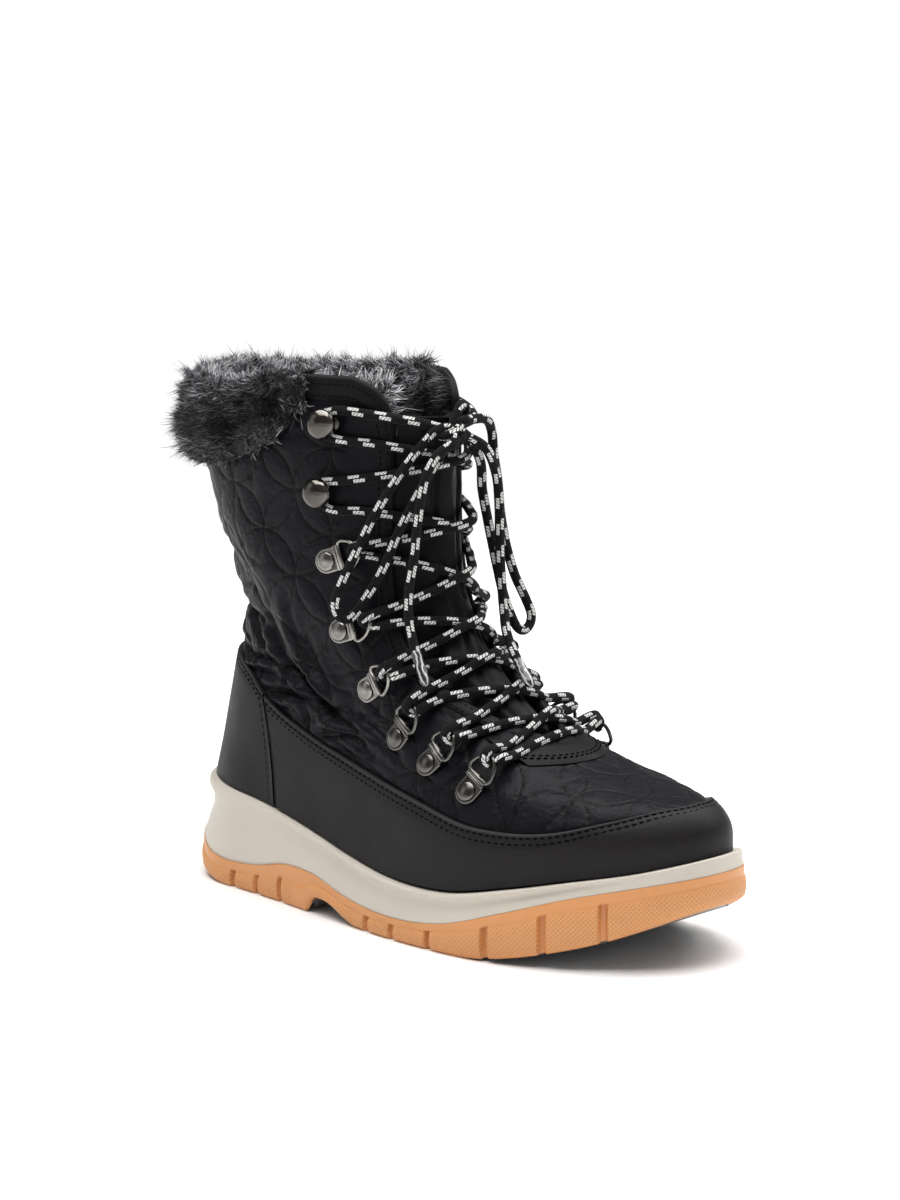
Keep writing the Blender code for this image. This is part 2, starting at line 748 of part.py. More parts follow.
def make_tongue(root):
    """Padded tongue under the quarters, swelling out through the throat."""
    heights = (0.375, 0.40, 0.43, 0.46, 0.50, 0.56, 0.63, 0.71, 0.80, 0.88, 0.955)
    widths = np.linspace(-1, 1, 11)
    s = np.empty((len(heights), len(widths)))
    b = np.empty_like(s)
    lift = np.empty_like(s)
    under = -(WALL + 0.7)
    for i, height in enumerate(heights):
        gap = float(look_up(THROAT, "b", "half", min(max(height, THROAT_BASE), 0.94)))
        reach = min(20.0 + 40.0 * (height - 0.375), 31.0)
        for j, w in enumerate(widths):
            side = LATERAL if w < 0 else MEDIAL
            b[i, j] = height
            s[i, j] = side * place_at_width(abs(w) * reach, height, side)
            swell = ease((gap - 5.0 - abs(w) * reach) / 8.0)
            lift[i, j] = under + 2.6 * float(swell)
    near = upper_sheet(s, b, lift - TONGUE_THICK)
    far = upper_sheet(s, b, lift)
    verts, faces = patch_solid(near, far)
    return make_object("tongue", verts, faces, "quilted_nylon", root)


def cuff_section(s):
    """Section of the rolled fur cuff at a place round the collar."""
    a = abs(s)
    low = float(look_up(CUFF, "a", "low", a))
    proud = float(look_up(CUFF, "a", "proud", a))
    up = np.array((0.0, 0.0, 1.0))
    rim = upper(s, 1.0)[0]
    rim_out = upper_normal(s, 1.0)[0] * np.array((1.0, 1.0, 0.0))
    rim_out = rim_out / np.linalg.norm(rim_out)

    def on(share, lift):
        b = low + (1 - low) * share
        return upper(s, b)[0] + upper_normal(s, b)[0] * lift

    rise = CUFF_RISE * (0.5 + 0.5 * proud / CUFF[0].proud)
    return [
        on(0.0, 0.5),
        on(0.5, 0.5),
        rim + rim_out * 0.5 + up * 0.6,
        rim - rim_out * CUFF_OVERHANG + up * 0.6,
        rim - rim_out * CUFF_OVERHANG * 0.8 + up * rise * 0.8,
        rim + rim_out * proud * 0.25 + up * rise,
        on(0.92, proud * 0.85) + up * rise * 0.3,
        on(0.58, proud),
        on(0.24, proud * 0.92),
        on(-0.02, proud * 0.45) - up * 2.0,
    ]


def make_cuff(root):
    """Rolled cuff with pointed locks raised on its outside."""
    end = CUFF[-1].a
    sections = [cuff_section(s) for s in np.linspace(-end, end, CUFF_STATIONS)]
    verts, faces = sweep_solid(sections)
    obj = make_object("fur_cuff", verts, faces, "fur_pile", root)
    count = len(sections[0])
    outside = [k for k in range(len(faces) - 2) if k % count in (4, 5, 6, 7, 8)]
    work = bmesh.new()
    work.from_mesh(obj.data)
    work.faces.ensure_lookup_table()
    poked = bmesh.ops.poke(work, faces=[work.faces[k] for k in outside])
    for k, tip in enumerate(poked["verts"]):
        length = LOCK_LENGTH * (1.0 + 0.35 * np.sin(2.4 * k)) * MM
        way = Vector(tip.normal) + Vector((0.0, 0.0, -0.35))
        tip.co += way.normalized() * length
    bmesh.ops.recalc_face_normals(work, faces=work.faces)
    work.to_mesh(obj.data)
    work.free()
    return obj


# Lace hardware

Seat = namedtuple("Seat", "origin u v h")


def seat(s, b, toward_s, toward_b):
    """Local axes on the upper: u towards the ring, v across it, h outward."""
    origin = upper(s, b)[0]
    h = upper_normal(s, b)[0]
    u = upper(toward_s, toward_b)[0] - origin
    u = u - h * (u @ h)
    u = u / np.linalg.norm(u)
    return Seat(origin, u, np.cross(h, u), h)


def on_seat(where, points):
    return [where.origin + p[0] * where.u + p[1] * where.v + p[2] * where.h for p in points]


def plate_local():
    """Plate with a rolled end and a rivet head, in its own axes."""
    path = [(-4.8, PLATE_LIFT, 2.4), (-3.2, PLATE_LIFT, 4.1), (0.0, PLATE_LIFT, 4.9), (RING_BAR_U, PLATE_LIFT, 4.0)]
    for turn in (-45, 0, 45, 90):
        t = np.radians(turn)
        path.append((RING_BAR_U + ROLL_RADIUS * np.cos(t), RING_LIFT + ROLL_RADIUS * np.sin(t), 4.0))
    path.append((RING_BAR_U - 2.2, RING_LIFT + ROLL_RADIUS * 0.72, 4.0))
    line = np.array([(p[0], p[1]) for p in path])
    along = np.gradient(line, axis=0)
    along = along / np.linalg.norm(along, axis=1)[:, None]
    side = np.stack((-along[:, 1], along[:, 0]), axis=-1) * PLATE_THICK / 2
    sections = []
    for (u, h, half), off in zip(path, side):
        sections.append([
            (u - off[0], -half, h - off[1]),
            (u - off[0], half, h - off[1]),
            (u + off[0], half, h + off[1]),
            (u + off[0], -half, h + off[1]),
        ])
    return sweep_solid([[np.array(p) for p in section] for section in sections])


def rivet_local():
    top = PLATE_LIFT + PLATE_THICK / 2
    rings = ((RIVET_RADIUS, top - 0.3), (RIVET_RADIUS, top + 0.3), (RIVET_RADIUS * 0.6, top + RIVET_HEIGHT))
    turns = np.arange(6) * np.pi / 3 + 0.2
    sections = [[np.array((r * np.cos(t), r * np.sin(t), h)) for t in turns] for r, h in rings]
    return sweep_solid(sections)


def joined(parts):
    """Union of solids that cross each other, as one list of points and faces."""
    objects = []
    for k, (verts, faces) in enumerate(parts):
        objects.append(make_object("join_%d" % k, verts, faces, "gunmetal", None))
    base = objects[0]
    for other in objects[1:]:
        union = base.modifiers.new(other.name, "BOOLEAN")
        union.operation = "UNION"
        union.object = other
    graph = bpy.context.evaluated_depsgraph_get()
    work = bmesh.new()
    work.from_mesh(base.evaluated_get(graph).to_mesh())
    base.evaluated_get(graph).to_mesh_clear()
    bmesh.ops.remove_doubles(work, verts=work.verts, dist=UNION_MERGE * MM)
    bmesh.ops.dissolve_degenerate(work, edges=work.edges, dist=UNION_MERGE * MM)
    bmesh.ops.triangulate(work, faces=work.faces)
    work.verts.index_update()
    verts = [np.array(v.co) / MM for v in work.verts]
    faces = [tuple(v.index for v in f.verts) for f in work.faces]
    work.free()
    for obj in objects:
        spare = obj.data
        bpy.data.objects.remove(obj)
        bpy.data.meshes.remove(spare)
    return verts, faces


def ring_path():
    """Middle line of the wire ring: a straight bar and a rounded bow."""
    points = [(RING_BAR_U, -RING_HALF + 0.9, RING_LIFT), (RING_BAR_U, RING_HALF - 0.9, RING_LIFT)]
    for turn in np.linspace(80, -80, 7):
        t = np.radians(turn)
        reach = 1.0 + (RING_DEPTH - 1.0) * np.cos(t)
        points.append((RING_BAR_U + reach, RING_HALF * np.sin(t), RING_LIFT))
    return points


def make_loops(root):
    plate = joined((plate_local(), rivet_local()))
    ring = sweep_solid(tube_sections(ring_path(), RING_WIRE, 4, closed=True), closed=True)
    for side, word in ((LATERAL, "lateral"), (MEDIAL, "medial")):
        for k, row in enumerate(LOOPS):
            where = seat(side * row.rivet_a, row.rivet_b, side * row.ring_a, row.ring_b)
            tag = "%s_%d" % (word, k + 1)
            make_object("loop_plate_" + tag, on_seat(where, plate[0]), plate[1], "gunmetal", root)
            make_object("d_ring_" + tag, on_seat(where, ring[0]), ring[1], "gunmetal", root)


def make_hooks(root):
    turns = np.arange(HOOK_SIDES) * 2 * np.pi / HOOK_SIDES
    sections = [[np.array((r * np.cos(t), r * np.sin(t), h)) for t in turns] for r, h in HOOK_PROFILE]
    verts, faces = sweep_solid(sections)
    for side, word in ((LATERAL, "lateral"), (MEDIAL, "medial")):
        for k, row in enumerate(HOOKS):
            where = seat(side * row.a, row.b, side * (row.a + 0.05), row.b)
            name = "hook_%s_%d" % (word, k + 1)
            make_object(name, on_seat(where, verts), faces, "gunmetal", root)


# Lace

Exit = namedtuple("Exit", "a b lift seats")


def lace_exits():
    """Where the lace leaves each ring or hook, from the toe up, the same on both sides."""
    exits = []
    sides = (LATERAL, MEDIAL)
    for row in LOOPS:
        a = row.rivet_a + (row.ring_a - row.rivet_a) * RING_EXIT
        b = row.rivet_b + (row.ring_b - row.rivet_b) * RING_EXIT
        seats = {s: seat(s * row.rivet_a, row.rivet_b, s * row.ring_a, row.ring_b) for s in sides}
        exits.append(Exit(a, b, LACE_LIFT, seats))
    for row in HOOKS:
        seats = {s: seat(s * row.a, row.b, s * (row.a + 0.05), row.b) for s in sides}
        exits.append(Exit(row.a + HOOK_EXIT, row.b, HOOK_LACE_LIFT, seats))
    return exits


def track(exit_row, side, up):
    """Step from the middle of a ring or hook to its upper (1) or lower (-1) lace."""
    return exit_row.seats[side].v * (-side * up * TRACK)


def surface_over(point, way, s, b):
    """Place of the upper that a line from a point meets, from a first guess."""
    step = 0.003
    for _ in range(12):
        here = upper(s, b)[0]
        columns = (upper(s + step, b)[0] - here, upper(s, b + step)[0] - here)
        miss = point - here
        flat = [c / step - way * (c @ way) / step for c in columns]
        move = np.linalg.lstsq(np.stack(flat, axis=1), miss - way * (miss @ way), rcond=None)[0]
        s = s + float(np.clip(move[0], -0.05, 0.05))
        b = min(b + float(np.clip(move[1], -0.05, 0.05)), 1.0 - step)
    return s, b


def run_path(start, end, first_side, start_up, over):
    """Lace laid straight over the throat from an exit on one side to an exit on the other."""
    first = upper(first_side * start.a, start.b)[0] + track(start, first_side, start_up)
    last = upper(-first_side * end.a, end.b)[0] + track(end, -first_side, -1)
    way = upper_normal(first_side * start.a, start.b)[0] + upper_normal(-first_side * end.a, end.b)[0]
    way = way / np.linalg.norm(way)
    points = []
    for t in np.linspace(0, 1, RUN_POINTS):
        turn = (1 - start.a) * (1 - t) - (1 - end.a) * t
        guess = first_side * (1 - turn)
        s, b = surface_over(first + (last - first) * t, way, guess, start.b + (end.b - start.b) * t)
        lift = start.lift + (end.lift - start.lift) * t + (RUN_SWELL + over) * np.sin(np.pi * t)
        points.append(upper(s, b)[0] + upper_normal(s, b)[0] * lift)
    return points


def make_lace_runs(root):
    exits = lace_exits()
    bar = tube_sections(run_path(exits[0], exits[0], LATERAL, -1, 0.0), LACE_D / 2, RUN_SIDES)
    make_object("lace_bar", *sweep_solid(bar), "lace_cord", root)
    for k in range(len(exits) - 1):
        pair = []
        for side, over in ((LATERAL, RUN_OVER), (MEDIAL, 0.0)):
            path = run_path(exits[k], exits[k + 1], side, 1, over)
            pair.append(sweep_solid(tube_sections(path, LACE_D / 2, RUN_SIDES)))
        verts, faces = joined(pair)
        make_object("lace_crossing_%d" % (k + 1), verts, faces, "lace_cord", root)


def make_top_runs(root):
    """Lace from the top hooks to the knot."""
    knot = np.array(KNOT)
    last = lace_exits()[-1]
    for side, word in ((LATERAL, "lateral"), (MEDIAL, "medial")):
        points = []
        for t in np.linspace(0, 1, 7):
            a = last.a + (0.97 - last.a) * t
            base = upper(side * a, last.b + 0.012 * t)[0]
            lift = upper_normal(side * a, last.b)[0] * (last.lift + 1.5 * t)
            points.append(base + lift + track(last, side, 1) * (1 - t) ** 2)
        keep = [p for p in points if np.linalg.norm(p - knot) > max(KNOT_RADII) + LACE_D]
        way = keep[-1] - knot
        keep.append(knot + way / np.linalg.norm(way) * (max(KNOT_RADII) + 0.5))
        solid = sweep_solid(tube_sections(keep, LACE_D / 2, RUN_SIDES))
        make_object("lace_top_" + word, *solid, "lace_cord", root)


def make_knot(root):
    sections = []
    for lean in np.radians((-75, -40, 0, 40, 75)):
        ring = []
        for turn in np.arange(8) * np.pi / 4:
            way = (np.cos(lean) * np.cos(turn), np.cos(lean) * np.sin(turn), np.sin(lean))
            ring.append(np.array(KNOT) + np.array(way) * np.array(KNOT_RADII))
        sections.append(ring)
    make_object("lace_knot", *sweep_solid(sections), "lace_cord", root)


def make_bow(root):
    routes = {
        "lace_loop_left": LEFT_LOOP,
        "lace_end_left": LEFT_END,
        "lace_loop_right": RIGHT_LOOP,
        "lace_end_right": RIGHT_END,
    }
    for name, route in routes.items():
        solid = sweep_solid(tube_sections(route, LACE_D / 2, RUN_SIDES))
        make_object(name, *solid, "lace_cord", root)


CORDS = ("lace_knot", "lace_loop_left", "lace_end_left", "lace_loop_right", "lace_end_right")


def centre_on_floor(root):
    """Move the assembly so that the middle of its own outline is over the origin."""
    corners = []
    for obj in bpy.context.scene.objects:
        if obj.type == "MESH" and obj.name not in CORDS:
            corners += [v.co.copy() for v in obj.data.vertices]
    low = [min(c[k] for c in corners) for k in range(3)]
    high = [max(c[k] for c in corners) for k in range(3)]
    root.location = (-(low[0] + high[0]) / 2, -(low[1] + high[1]) / 2, -low[2])


def main():
    for obj in list(bpy.data.objects):
        bpy.data.objects.remove(obj)
    root = bpy.data.objects.new("boot", None)
    bpy.context.scene.collection.objects.link(root)
    make_outsole(root)
    make_midsole(root)
    make_insole(root)
    make_upper(root)
    make_rand(root)
    make_counter(root)
    make_throat_band(root)
    make_tongue(root)
    make_cuff(root)
    make_loops(root)
    make_hooks(root)
    make_lace_runs(root)
    make_top_runs(root)
    make_knot(root)
    make_bow(root)
    centre_on_floor(root)
    bpy.context.view_layer.update()


main()
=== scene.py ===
"""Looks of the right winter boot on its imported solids.

Points are in the part's own millimetres (x heel to toe, y medial, z up) until a mesh is made.
The upper is one surface of a place s round the foot (-1 front, -0.5 lateral, 0 back, 0.5 medial)
and a height b (0 feather edge, 1 collar), as in the part's source.
"""

import math
from collections import namedtuple

import bpy
import numpy as np
from mathutils import Euler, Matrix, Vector


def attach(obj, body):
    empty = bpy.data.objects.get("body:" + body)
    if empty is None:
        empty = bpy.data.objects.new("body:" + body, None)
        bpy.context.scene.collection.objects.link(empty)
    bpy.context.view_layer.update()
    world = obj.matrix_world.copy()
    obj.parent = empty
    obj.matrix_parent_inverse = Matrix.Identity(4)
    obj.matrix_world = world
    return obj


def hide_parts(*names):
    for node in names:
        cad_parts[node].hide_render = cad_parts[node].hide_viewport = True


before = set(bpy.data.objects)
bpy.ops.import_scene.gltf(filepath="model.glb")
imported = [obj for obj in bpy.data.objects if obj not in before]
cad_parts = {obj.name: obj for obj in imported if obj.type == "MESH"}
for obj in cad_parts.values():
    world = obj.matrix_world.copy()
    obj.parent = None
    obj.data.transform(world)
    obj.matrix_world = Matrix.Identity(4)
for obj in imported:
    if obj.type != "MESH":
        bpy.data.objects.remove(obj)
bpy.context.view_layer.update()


def table(fields, *rows):
    """Rows of a table whose values are read by the names of their fields."""
    kind = namedtuple("Row", fields)
    return tuple(kind(*row) for row in rows)


# Driving sizes
MM = 0.001
SHIFT = np.array((-126.277, -1.578, 0.0))
LENGTH = 270.0
TOE_SHIFT = 12.0
TOE_SPRING = 22.8
HEEL_BEVEL = 7.0
ARCH_RISE = 7.0
WALL = 3.0
GAP = 0.3
JOINT_GAP = 0.05
OVERLAY_GAP = 0.8
RAND_THICK = 1.4
BAND_THICK = 1.0
BAND_HALF = 24.0
TONGUE_THICK = 4.0
LACE_D = 4.0
LATERAL = -1
MEDIAL = 1
SIDES = ((LATERAL, "lateral"), (MEDIAL, "medial"))

SOLE = table(
    "f lateral medial",
    (0.00, 35.3, 36.0), (0.13, 34.4, 37.0), (0.38, 43.0, 32.0), (0.55, 49.1, 37.8), (0.70, 53.0, 48.4),
    (1.00, 45.8, 46.3),
)
SOLE_HEEL_CAP = 0.14
SOLE_TOE_CAP = 0.68
SOLE_TOE_POWER = 2.2

LINES = table(
    "f top joint",
    (0.00, 45.5, 21.5), (0.08, 43.4, 13.0), (0.20, 40.3, 12.4), (0.28, 36.7, 17.0), (0.35, 33.1, 17.0),
    (0.43, 28.2, 11.8), (0.52, 24.2, 9.2), (0.65, 24.0, 12.0), (0.75, 29.3, 20.2), (0.85, 35.3, 29.0),
    (0.93, 39.8, 34.2), (1.00, 45.3, 38.3),
)

MIDSOLE_SIDE = table(
    "share heel_in side_in",
    (0.00, 0.3, 0.3), (0.30, 2.8, 1.3), (0.62, 5.2, 2.3), (0.80, 4.6, 1.7), (0.87, 3.4, 0.8),
    (0.96, 3.4, 0.8), (1.00, 4.2, 1.5),
)

GROOVES = (0.148, 0.207, 0.269, 0.488, 0.546, 0.623, 0.729, 0.815, 0.894)
GROOVE_WIDTH = 2.3
HEEL_LUG_SHARE = 0.62
TOE_LUG_SHARE = 0.78
TOE_ROUND = 5.5
MID_GROOVE = 3.0
ARCH_START = 0.333
ARCH_STEP = 0.025
ARCH_END = 0.375
ARCH_FADE = 0.090
GROOVE_DEPTH = 2.2
SIDE_GROOVE = 0.5
TREAD_ACROSS = (-0.985, -0.9, -0.62, -0.5, 0.0, 0.5, 0.62, 0.9, 0.985)
SOLE_MIDDLE = np.array((LENGTH / 2, 4.0))

# Rounded lug faces from the ground up, and the plain band from there to the joint
LUG_PROFILE = table(
    "share out face",
    (0.00, -1.3, 0.0), (0.06, -0.35, 0.0), (0.16, 0.25, 1.0), (0.32, 0.75, 1.0), (0.55, 0.95, 1.0),
    (0.78, 0.85, 1.0), (0.90, 0.6, 1.0), (0.97, 0.25, 0.3), (1.0, -0.1, 0.0),
)
BAND_PROFILE = table(
    "share out face",
    (0.12, 0.0, 0.0), (0.3, 0.05, 0.0), (0.6, 0.05, 0.0), (0.9, 0.0, 0.0), (1.0, -0.1, 0.0),
)

RINGS = table(
    "b back_x back_z front_x front_z lat_heel lat_waist lat_ball "
    "med_heel med_waist med_ball heel_cap toe_cap",
    (0.00, 7.5, 50.3, 264.0, 47.6, 29.5, 39.0, 47.0, 31.5, 28.5, 43.5, 0.15, 0.66),
    (0.08, 11.5, 66.0, 263.0, 57.0, 28.5, 37.5, 46.5, 30.5, 28.0, 43.0, 0.16, 0.65),
    (0.16, 15.5, 82.0, 254.0, 64.0, 28.5, 35.5, 42.0, 30.0, 28.0, 39.5, 0.18, 0.62),
    (0.25, 19.0, 98.0, 233.0, 67.0, 28.5, 33.5, 36.5, 29.5, 28.5, 35.5, 0.22, 0.60),
    (0.34, 22.0, 112.0, 210.0, 72.0, 28.5, 32.5, 34.0, 29.0, 29.5, 33.5, 0.27, 0.57),
    (0.43, 21.5, 126.0, 187.0, 83.0, 29.0, 32.5, 33.0, 29.5, 31.0, 33.0, 0.32, 0.55),
    (0.53, 17.0, 142.0, 163.0, 99.0, 31.5, 34.0, 33.5, 32.0, 33.5, 33.5, 0.37, 0.53),
    (0.64, 9.0, 160.0, 146.0, 119.0, 35.0, 36.0, 34.0, 35.0, 36.0, 34.0, 0.42, 0.52),
    (0.76, 2.0, 180.0, 137.0, 145.0, 38.0, 37.0, 35.0, 38.0, 37.0, 35.0, 0.46, 0.51),
    (0.88, -2.0, 202.0, 134.5, 182.0, 39.5, 38.0, 36.0, 39.5, 38.0, 36.0, 0.49, 0.50),
    (1.00, -5.0, 224.0, 133.5, 222.0, 40.0, 38.0, 36.5, 40.0, 38.0, 36.5, 0.50, 0.50),
)
PROFILE_F = (0.0, 0.12, 0.42, 0.72, 1.0)
TOE_NARROWING = 0.9
FEATHER_FADE = 0.35
COLLAR_DROP = 8.0
MEDIAL_DROP = 4.5
# Rough millimetres of one unit of height, and of place at the throat and at the collar
UPPER_TALL = 230.0
FRONT_WIDE = 150.0
PLACE_WIDE = 330.0
FAR = 99.0

THROAT = table(
    "b half",
    (0.42, 0.0), (0.44, 11.0), (0.46, 16.0), (0.49, 20.0), (0.53, 22.5), (0.58, 23.5), (0.70, 22.0),
    (0.86, 20.4), (0.94, 20.2), (0.975, 22.0), (0.99, 24.8), (1.00, 28.3),
)
THROAT_BASE = THROAT[0].b

RAND = table(
    "a top",
    (0.00, 0.275), (0.15, 0.265), (0.23, 0.242), (0.28, 0.200), (0.35, 0.168), (0.45, 0.147),
    (0.55, 0.128), (0.63, 0.103), (0.72, 0.096), (0.80, 0.120), (0.88, 0.147), (1.00, 0.160),
)
SEAM_FOOT = 0.315
SEAM_LEAN = 0.23
SEAM_HALF_GAP = 0.0018
OVERLAY_FOOT = 0.003
OVERLAY_TOP = OVERLAY_GAP + RAND_THICK
OVERLAY_STITCHES = (2.1, 4.7)
STITCH_SIDES = 5

# Section of the binding tape: share of its width from the edge, and height over the shell
TAPE_PROFILE = (
    (1.0, 0.1), (1.0, 0.8), (0.97, 0.95), (0.5, 1.1), (0.12, 1.1), (-0.03, 0.7), (-0.1, 0.0),
    (-0.12, -WALL * 0.5), (-0.08, -WALL - 0.3), (0.1, -WALL - 0.9), (0.6, -WALL - 0.8),
)

CUFF = table(
    "a low proud",
    (0.00, 0.800, 12.0), (0.20, 0.814, 12.0), (0.36, 0.848, 12.5), (0.45, 0.878, 12.5),
    (0.52, 0.908, 11.0), (0.575, 0.940, 9.0), (0.605, 0.970, 6.0),
)
CUFF_OVERHANG = 5.0
CUFF_RISE = 2.5
FUR_PART = -0.495
HOLLOWS = ((-0.44, 0.04), (-0.545, 0.03))
# Tone of the fur at steps along the roll, painted shade across the middle of its face and painted highlight
# over its top, and of the lining by height and by place, painted shade deep inside and towards the throat and
# painted highlight at its top edge
FUR_PAINTED_LIGHT = ((0.6, 1.1), (1.5, 1.0), (3.0, 0.35), (4.5, 0.6), (6.0, 0.9), (7.5, 1.8), (9.3, 1.7))
LINING_PAINTED_LIGHT_BY_HEIGHT = ((0.90, 0.6), (0.955, 0.5), (0.975, 1.4), (0.99, 1.8))
LINING_PAINTED_SHADE_BY_PLACE = ((0.52, 1.0), (0.60, 0.55), (0.66, 0.15))
TUFT_S = 0.030
TUFT_V = 0.80
CUFF_STEPS = (0.6, 9.3)
TUFT_HAIRS = 32000
FLUFF_HAIRS = 29000
LINING_HAIRS = 22000
LINING_SPAN = (0.82, 0.998)
LINING_END = 0.80
# Share of a hair's length, and of its width there
BLADE = ((0.0, 0.7), (0.35, 1.0), (0.7, 0.7), (1.0, 0.12))

LOOP_FIELDS = "rivet_a rivet_b ring_a ring_b"
LOOPS = table(
    LOOP_FIELDS,
    (0.625, 0.170, 0.677, 0.260), (0.578, 0.215, 0.650, 0.315), (0.540, 0.258, 0.623, 0.375),
    (0.540, 0.395, 0.633, 0.475), (0.580, 0.555, 0.670, 0.608), (0.620, 0.720, 0.680, 0.750),
)
SIDE_LOOPS = {
    MEDIAL: LOOPS,
    LATERAL: table(LOOP_FIELDS, (0.625, 0.170, 0.686, 0.252), (0.578, 0.215, 0.653, 0.311)) + LOOPS[2:],
}
HOOKS = table("a b", (0.635, 0.838), (0.652, 0.938))
PLATE_THICK = 0.8
PLATE_LIFT = 0.85
RING_WIRE = 0.8
RING_LIFT = PLATE_LIFT + RING_WIRE + 0.4 + PLATE_THICK / 2
RING_EXIT = 1.47
HOOK_EXIT = 0.014
TRACK = 2.4
HOOK_TRACK = 5.4
LACE_LIFT = 2.5
HOOK_LACE_LIFT = 3.5
LACE_FACING = (0.72, -0.62, 0.3)
LACE_TIP = 15.0
LACE_STEP = 1.3
LACE_SIDES = 14
CROSSING_HUMP = 4.1
# Lace round a hook's stem and through a ring, in the axes of their seat
HOOK_WRAP = (
    (6.5, -5.9, 3.4), (2.5, -5.2, 3.3), (-1.8, -3.7, 3.3), (-4.0, 0.0, 3.3), (-1.8, 3.7, 3.3),
    (2.5, 5.4, 3.3), (6.5, 6.2, 3.4),
)
RING_WRAP = (
    (18.6, -2.2, 2.0), (16.4, -1.6, 1.4), (14.7, -0.6, 2.2), (14.3, 0.5, 3.9), (15.6, 1.5, 5.9),
    (18.2, 2.1, 5.6),
)

KNOT = (140.5, -6.5, 203.0)
# Wraps of the knot: centre, tilt and two radii, then the tuck behind it
KNOT_WRAPS = (((0.5, -0.5, -0.5), 0.15, (3.6, 4.2)), ((1.8, 0.5, -2.5), -0.5, (3.4, 3.8)))
KNOT_TUCK = (
    (-3.0, 6.0, -2.0), (-2.0, 9.0, 3.0), (-0.5, 9.5, 8.0), (0.5, 6.0, 9.5), (1.0, 2.5, 5.0), (0.5, 0.0, 0.0),
)
LEFT_LOOP = (
    (137.0, -14.5, 200.5), (133.0, -21.0, 192.0), (128.5, -27.0, 181.5), (123.5, -31.5, 170.5),
    (119.0, -35.0, 159.5), (115.5, -39.5, 148.0), (113.5, -43.5, 138.5), (113.5, -46.0, 132.0),
    (114.5, -44.5, 128.0), (116.0, -41.0, 126.5), (117.5, -37.5, 129.0), (119.5, -35.0, 134.0),
    (122.5, -32.0, 140.5), (125.5, -29.0, 148.5), (129.0, -25.5, 160.5), (134.0, -22.0, 173.0),
    (139.0, -17.5, 185.0), (141.0, -10.5, 195.5),
)
LEFT_END = (
    (145.5, -11.0, 197.5), (143.0, -16.5, 193.5), (141.0, -20.5, 186.5), (140.0, -22.5, 178.5),
    (139.5, -24.0, 169.5), (139.0, -25.0, 160.5), (138.5, -26.0, 150.5), (138.0, -28.0, 140.0),
    (139.0, -29.5, 130.5), (142.0, -31.0, 122.0), (147.0, -32.5, 113.5), (153.0, -34.5, 105.0),
)
RIGHT_LOOP = (
    (144.5, -0.5, 206.5), (144.0, 10.5, 206.0), (139.5, 19.5, 200.0), (138.0, 22.5, 190.0),
    (138.5, 24.5, 178.5), (139.0, 25.5, 166.5), (140.5, 27.0, 154.0), (143.0, 30.0, 140.0),
    (146.5, 33.5, 129.0), (148.5, 34.5, 123.0), (149.0, 33.0, 119.0), (149.0, 29.0, 117.0),
    (149.0, 25.0, 119.0), (147.5, 23.0, 124.0), (144.0, 22.0, 133.0), (141.0, 20.5, 147.0),
    (138.5, 18.5, 163.0), (138.5, 15.0, 176.5), (142.5, 9.5, 188.5), (144.0, 2.5, 197.0),
)
RIGHT_END = (
    (145.6, -1.0, 199.7), (149.3, 4.5, 195.5), (148.0, 13.0, 183.5), (146.5, 16.5, 171.0),
    (145.5, 18.0, 158.5), (145.5, 18.5, 147.0), (146.0, 19.0, 136.0), (148.5, 17.5, 126.5),
    (154.0, 13.0, 119.0), (161.0, 9.0, 113.0), (168.5, 5.5, 107.5), (176.0, 2.5, 102.0),
)

# Quilting: radius of the stitched circles, and a place where four petals meet on the shaft and vamp
QUILT_R = 18.0
SHAFT_NODE = (62.7, 158.1)
VAMP_NODE = (219.8, -19.9)
VAMP_PUFF = 0.45
SHAFT_PUFF = 0.85
VAMP_SEAM_A = 0.565
VAMP_SEAM_B = 0.15
VAMP_SEAM_SLOPE = 1.09
